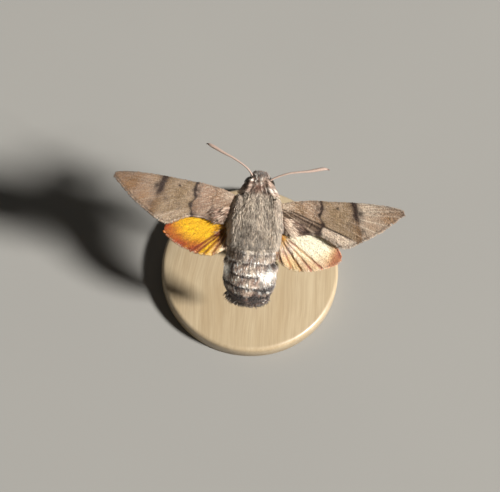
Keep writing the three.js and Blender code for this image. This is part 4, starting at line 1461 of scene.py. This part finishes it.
# %% Antenna cuticle: brown and satiny, ringed, with pale scales above
antenna_cuticle, tree = material("antenna_cuticle")
place = add(tree, "TexCoord").outputs["Object"]
speck = add(tree, "TexNoise", {"Vector": place, "Scale": 1 / (0.15 * MM), "Detail": 3.0})
upper = add(tree, "Attribute", attribute_name="upper").outputs["Fac"]
joint = add(tree, "Attribute", attribute_name="joint").outputs["Fac"]
scaled = add(tree, "Mix", {0: speck.outputs[0], 6: linear("#8f6f5d"), 7: linear("#d2b8a6")}, data_type="RGBA")
bare = add(tree, "Mix", {0: speck.outputs[0], 6: linear("#4a2c1e"), 7: linear("#6e4633")}, data_type="RGBA")
tint = add(tree, "Mix", {0: upper, 6: bare.outputs[2], 7: scaled.outputs[2]}, data_type="RGBA")
tint = add(tree, "Mix", {0: joint, 6: tint.outputs[2], 7: linear("#33211a")}, data_type="RGBA")
shader = add(tree, "BsdfPrincipled", {"Base Color": tint.outputs[2], "Roughness": 0.5, "Sheen Weight": 0.2})
add(tree, "OutputMaterial", {"Surface": shader.outputs[0]})

# %% Antennae
ANTENNA_RINGS = 62
ANTENNA_RADIUS = curve([
    [0, 0.15], [0.3, 0.15], [0.6, 0.19], [0.84, 0.29], [0.92, 0.25], [0.97, 0.11], [1, 0.05],
])
ANTENNAE = {
    # (aside, forward, up) from the brow to the hook. The right one trails a little.
    "left": [
        (0.85, 6.0, 0.0), (1.4, 7.25, 0.4), (2.4, 8.3, 0.6), (4.6, 9.55, 0.65), (6.2, 10.2, 0.5),
        (8.3, 11.15, 0.1), (9.0, 11.4, -0.15), (9.2, 11.3, -0.35),
    ],
    "right": [
        (0.85, 5.9, 0.0), (2.2, 6.95, 0.4), (4.3, 7.95, 0.6), (6.1, 8.4, 0.5), (7.85, 8.75, 0.3),
        (10.0, 9.35, 0.0), (10.8, 9.35, -0.2), (10.95, 9.2, -0.4),
    ],
}
for side, place in SIDES:
    path = path_through([(side * a, -f, u) for a, f, u in ANTENNAE[place]])

    def ringed(t):
        beat = (t * ANTENNA_RINGS) % 1
        return ANTENNA_RADIUS(t) * (0.88 + 0.14 * np.sin(np.pi * beat) ** 0.5)

    bm, t, around = rod_along(path, ringed, ANTENNA_RINGS * 4, 12)
    antenna = object_from(f"antenna_rod_{place}", bm, antenna_cuticle)
    above = smooth(-0.1, 0.5, np.cos(around)) * (1 - smooth(0.93, 0.98, t))
    between = hill((t * ANTENNA_RINGS + 0.5) % 1, 0.5, 0.3)
    write_attributes(antenna.data, upper=above, joint=between * 0.5)
    piece(antenna, "antenna_brown", f"antenna_{place}")

# %% [markdown]
# ## The tongue
#
# At rest the tongue is rolled up like a watch spring under the face. It is two half-tubes zipped together,
# so it is made as two rods side by side with a groove between, finely ringed so that it can coil.

# %% Tongue cuticle: horn-like, brown and slightly glossy
tongue_cuticle, tree = material("tongue_cuticle")
place = add(tree, "TexCoord").outputs["Object"]
speck = add(tree, "TexNoise", {"Vector": place, "Scale": 1 / (0.3 * MM), "Detail": 3.0})
tint = add(tree, "Mix", {0: speck.outputs[0], 6: linear("#3a2317"), 7: linear("#7a5236")}, data_type="RGBA")
shader = add(tree, "BsdfPrincipled", {"Base Color": tint.outputs[2], "Roughness": 0.35})
add(tree, "OutputMaterial", {"Surface": shader.outputs[0]})

# %% Tongue
COIL = {"at": (-5.75, -4.55), "inner": 0.2, "outer": 1.62, "turns": 3.6, "end_turn": 2.04, "half": 0.075}
TONGUE_RINGS = 110
for side, place in SIDES:

    def coil(t):
        angle = 2 * np.pi * (COIL["end_turn"] - COIL["turns"] * (1 - t))
        radius = COIL["inner"] + (COIL["outer"] - COIL["inner"]) * t
        aside = side * COIL["half"] * (0.5 + 0.5 * t)
        back = COIL["at"][0] + radius * np.sin(angle)
        return np.stack([aside, back, COIL["at"][1] + radius * np.cos(angle)], -1)

    def tongue_radius(t):
        return (0.05 + 0.085 * t) * (1 + 0.07 * np.cos(2 * np.pi * TONGUE_RINGS * t))

    bm = rod_along(coil, tongue_radius, TONGUE_RINGS * 4, 12, bend_plane=(1, 0, 0))[0]
    tongue = object_from(f"tongue_{place}", bm, tongue_cuticle)
    nodes = ("proboscis_inner", "proboscis_outer") if side > 0 else ()
    piece(tongue, "tongue_brown", *nodes)

# %% [markdown]
# ## The legs
#
# In flight the legs are folded back under the body. A leg has a stout femur, a tibia with spurs like small
# thorns, and a foot of five short rods that ends in two claws. Scales cover all of it. They are short, and
# shortest on the foot.

# %% Where the legs' joints are, and what a leg is made from
LEGS = {
    # Joints by length along the spine, distance aside and depth under the belly, in mm.
    "front": ((5.7, 1.05, -0.35), (3.7, 1.2, 0.55), (5.5, 2.15, 0.6), (7.2, 1.95, 0.5)),
    "middle": ((8.2, 2.2, -0.35), (6.6, 3.15, 0.35), (9.3, 3.3, 0.3), (11.9, 3.0, 0.5)),
    "hind": ((10.3, 1.3, -0.35), (9.2, 2.2, 0.75), (13.4, 2.1, 0.65), (17.2, 1.7, 0.45)),
}
SPURS = {"front": (0.6,), "middle": (0.97,), "hind": (0.6, 0.97)}  # by share of the tibia
FEMUR = curve([[0, 0.2], [0.4, 0.31], [1, 0.17]])
TIBIA = curve([[0, 0.16], [0.5, 0.2], [0.93, 0.21], [1, 0.15]])
FOOT_RODS = 5
LEG_SIDES = 12
LEG_SCALE_COUNT = {"stout": 330, "foot": 170}


def foot(t):
    """The foot's radius: each of its rods widens towards its far end and is nipped in there."""
    beat = (t * FOOT_RODS) % 1
    return (0.12 - 0.045 * t) * (0.78 + 0.3 * smooth(0, 0.8, beat) * (1 - smooth(0.93, 1, beat)))


def spike_from(start, direction, length, radius):
    """A short thorn, straight and pointed."""
    start, direction = np.array(start), unit(np.array(direction))

    def path(t):
        return start + direction * (t[:, None] * length)

    def taper(t):
        return radius * (1.02 - t) ** 0.7

    return rod_along(path, taper, 8, 6, bend_plane=(0.3, 0.2, 1))[0]


def leg_joint(s, aside, depth, side):
    """A joint's place in the moth's frame, by how far it is from the belly's surface."""
    drop = BELLY(s) * math.sqrt(1 - (aside / HALF_WIDTH(s)) ** 2)
    return np.array(beside_spine(s, side * aside, -drop - depth), float)


for which, joints in LEGS.items():
    chain = np.array([leg_joint(*joint, 1) for joint in joints])
    print(which, "leg:", np.linalg.norm(np.diff(chain, axis=0), axis=1).sum().round(1), "mm from hip to toe")

# %% Legs, their spurs and claws, and the scales over them
for side, place in SIDES:
    for which, joints in LEGS.items():
        hip, knee, ankle, toe = (leg_joint(*joint, side) for joint in joints)
        sag = np.array([side * 0.15, 0, -0.12])
        paths = (
            (path_through([hip, (hip + knee) / 2 + sag, knee]), FEMUR, 24),
            (path_through([knee, (knee + ankle) / 2 - sag * 0.6, ankle]), TIBIA, 28),
            (path_through([ankle, (ankle + toe) / 2 + sag * 0.8, toe]), foot, 60),
        )
        rods, roots, normals, combs = [], [], [], []
        rng = np.random.default_rng(100 + len(which) + side)
        for path, radius, rings in paths:
            rods.append(rod_along(path, radius, rings, LEG_SIDES)[0])
            count = LEG_SCALE_COUNT["foot" if radius is foot else "stout"]
            t, around = even_places(rng, count, (0.02, 0.98, 4), (-np.pi, np.pi, 0.3))
            tangent = unit(path(np.clip(t + 0.01, 0, 1)) - path(np.clip(t - 0.01, 0, 1)))
            across = unit(np.cross(tangent, (0, 0, 1)))
            normal = across * np.sin(around)[:, None] + np.cross(across, tangent) * np.cos(around)[:, None]
            roots.append(path(t) + normal * radius(t)[:, None])
            normals.append(normal)
            combs.append(tangent)
        shin = unit(ankle - knee)
        for share in SPURS[which]:
            for lean in (1, -1):
                start = knee + (ankle - knee) * share - (0, 0, 0.12)
                rods.append(spike_from(start, shin + np.array([lean * 0.45, 0, -0.35]), 0.75, 0.07))
        for lean in (1, -1):
            rods.append(spike_from(toe, unit(toe - ankle) + np.array([lean * 0.5, 0, -0.5]), 0.26, 0.035))
        bm = joined(rods)
        leg = object_from(f"leg_{which}_{place}_rods", bm, antenna_cuticle)
        write_attributes(leg.data, upper=0.15, joint=0.0)
        piece(leg, "leg_scales", f"leg_{which}_{place}")
        root, normal, comb = (np.concatenate(parts) for parts in (roots, normals, combs))
        start, up, ahead = (to_world(*v.T) for v in (root, root + normal, root + comb))
        share = np.arange(len(root)) / len(root)
        long = np.where(share < 0.8, 0.34, 0.2)  # the last fifth of the scales is on the foot
        comb_coat(
            f"leg_{which}_{place}_coat", start, up - start, ahead - start, long, 0.08, 0.12,
            (0.02 + 0.96 * share, 0.5 + 0.4 * np.sin(40 * share)), "leg_scales", seed=120 + len(which),
            warm=0.2, pale=np.where(rng.uniform(0, 1, len(root)) < 0.5, 0.5, 0.15), dark=0.1, under=0.5,
        )

# %% [markdown]
# ## The display stand
#
# The base is a disc of pale maple, turned on a lathe and lacquered, so it is spun from its profile. The rod
# is ground steel, let into the base through a small polished collar, and its top is hidden in the fur.

# %% Lacquered maple: pale, close grain with faint growth rings under a satin coat
maple, tree = material("lacquered_maple")
place = add(tree, "TexCoord").outputs["Object"]
warp = add(tree, "TexNoise", {"Vector": place, "Scale": 1 / (22 * MM), "Detail": 2.0})
pushed = add(
    tree, "VectorMath", {0: warp.outputs["Color"], 1: (0.005, 0.005, 0.0)}, operation="MULTIPLY"
)
bent = add(tree, "VectorMath", {0: place, 1: pushed.outputs[0]}, operation="ADD")
board = add(tree, "Mapping", {"Vector": bent.outputs[0], "Location": (0.02, 0.11, 0), "Scale": (1, 0.12, 1)})
rings = add(
    tree, "TexNoise", {"Vector": board.outputs[0], "Scale": 1 / (3.2 * MM), "Detail": 5.0, "Roughness": 0.65}
)
fibre = add(tree, "Mapping", {"Vector": bent.outputs[0], "Scale": (1, 0.03, 1)})
pores = add(tree, "TexNoise", {"Vector": fibre.outputs[0], "Scale": 1 / (0.22 * MM), "Detail": 3.0})
year = add(tree, "MapRange", {0: rings.outputs[0], 1: 0.4, 2: 0.62})
wood = add(tree, "Mix", {0: year.outputs[0], 6: linear("#b5a283"), 7: linear("#a89373")}, data_type="RGBA")
grain = add(tree, "MapRange", {0: pores.outputs[0], 1: 0.4, 2: 0.7, 3: 0.0, 4: 0.35})
wood = add(tree, "Mix", {0: grain.outputs[0], 6: wood.outputs[2], 7: linear("#8a7355")}, data_type="RGBA")
dent = add(tree, "Bump", {"Height": pores.outputs[0], "Strength": 0.15, "Distance": 0.03 * MM})
inputs = {
    "Base Color": wood.outputs[2], "Roughness": 0.42, "Normal": dent.outputs[0], "Coat Weight": 0.25,
    "Coat Roughness": 0.2,
}
shader = add(tree, "BsdfPrincipled", inputs)
add(tree, "OutputMaterial", {"Surface": shader.outputs[0]})

# %% Ground steel: bright, with fine rings round the rod from the grinding wheel
steel, tree = material("ground_steel")
place = add(tree, "TexCoord").outputs["Object"]
lines = add(tree, "Mapping", {"Vector": place, "Scale": (0.05, 0.05, 1)})
scratch = add(tree, "TexNoise", {"Vector": lines.outputs[0], "Scale": 1 / (0.12 * MM), "Detail": 2.0})
rough = add(tree, "MapRange", {0: scratch.outputs[0], 3: 0.24, 4: 0.42})
tone = add(tree, "Mix", {0: scratch.outputs[0], 6: linear("#a9a7a3"), 7: linear("#cfccc6")}, data_type="RGBA")
shader = add(
    tree, "BsdfPrincipled", {"Base Color": tone.outputs[2], "Metallic": 1.0, "Roughness": rough.outputs[0]}
)
add(tree, "OutputMaterial", {"Surface": shader.outputs[0]})

# %% Stand
BASE = {"radius": 15, "bevel": 0.7, "foot": 0.35}
ROD = {"radius": 0.65, "y": -0.9, "collar": 1.25, "collar_height": 0.5, "collar_bevel": 0.12}
base_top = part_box("stand_base")[1].z / MM
rod_low, rod_high = (corner.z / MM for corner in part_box("stand_rod"))


def turned_on_lathe(profile, centre_y, bevels):
    """A solid spun from (radius, height) points in mm, with its sharp rims bevelled by (height, width)."""
    bm = bmesh.new()
    corners = [bm.verts.new((r * MM, centre_y * MM, z * MM)) for r, z in profile]
    edges = [bm.edges.new(pair) for pair in zip(corners, corners[1:])]
    bmesh.ops.spin(
        bm, geom=corners + edges, cent=(0, centre_y * MM, 0), axis=(0, 0, 1), angle=2 * math.pi, steps=96,
        use_merge=True,
    )
    bmesh.ops.remove_doubles(bm, verts=bm.verts, dist=0.001 * MM)
    for height, width in bevels:
        rim = [
            e for e in bm.edges
            if all(abs(v.co.z / MM - height) < 0.001 for v in e.verts) and e.calc_face_angle(0) > 0.5
        ]
        bmesh.ops.bevel(
            bm, geom=rim, offset=width * MM, affect="EDGES", segments=5, profile=0.5, material=-1,
            offset_type="OFFSET",
        )
    return face_out(bm)


profile = [
    (0, 0), (BASE["radius"] - BASE["foot"], 0), (BASE["radius"], BASE["foot"]), (BASE["radius"], base_top),
    (0, base_top),
]
base = object_from("display_base", turned_on_lathe(profile, 0, [(base_top, BASE["bevel"])]), maple)
piece(base, "base_maple", "stand_base")

collar_top = base_top + ROD["collar_height"]
profile = [
    (0, base_top), (ROD["collar"], base_top), (ROD["collar"], collar_top), (ROD["radius"], collar_top),
    (ROD["radius"], rod_high), (0, rod_high),
]
bevels = [(collar_top, ROD["collar_bevel"])]
rod = object_from("display_rod", turned_on_lathe(profile, ROD["y"], bevels), steel)
piece(rod, "rod_steel", "stand_rod")
print(f"base {base_top:.2f} mm high, rod from {rod_low:.2f} to {rod_high:.2f} mm")

# %% [markdown]
# ## The end

# %% The end: the scene brought up to date
bpy.context.view_layer.update()
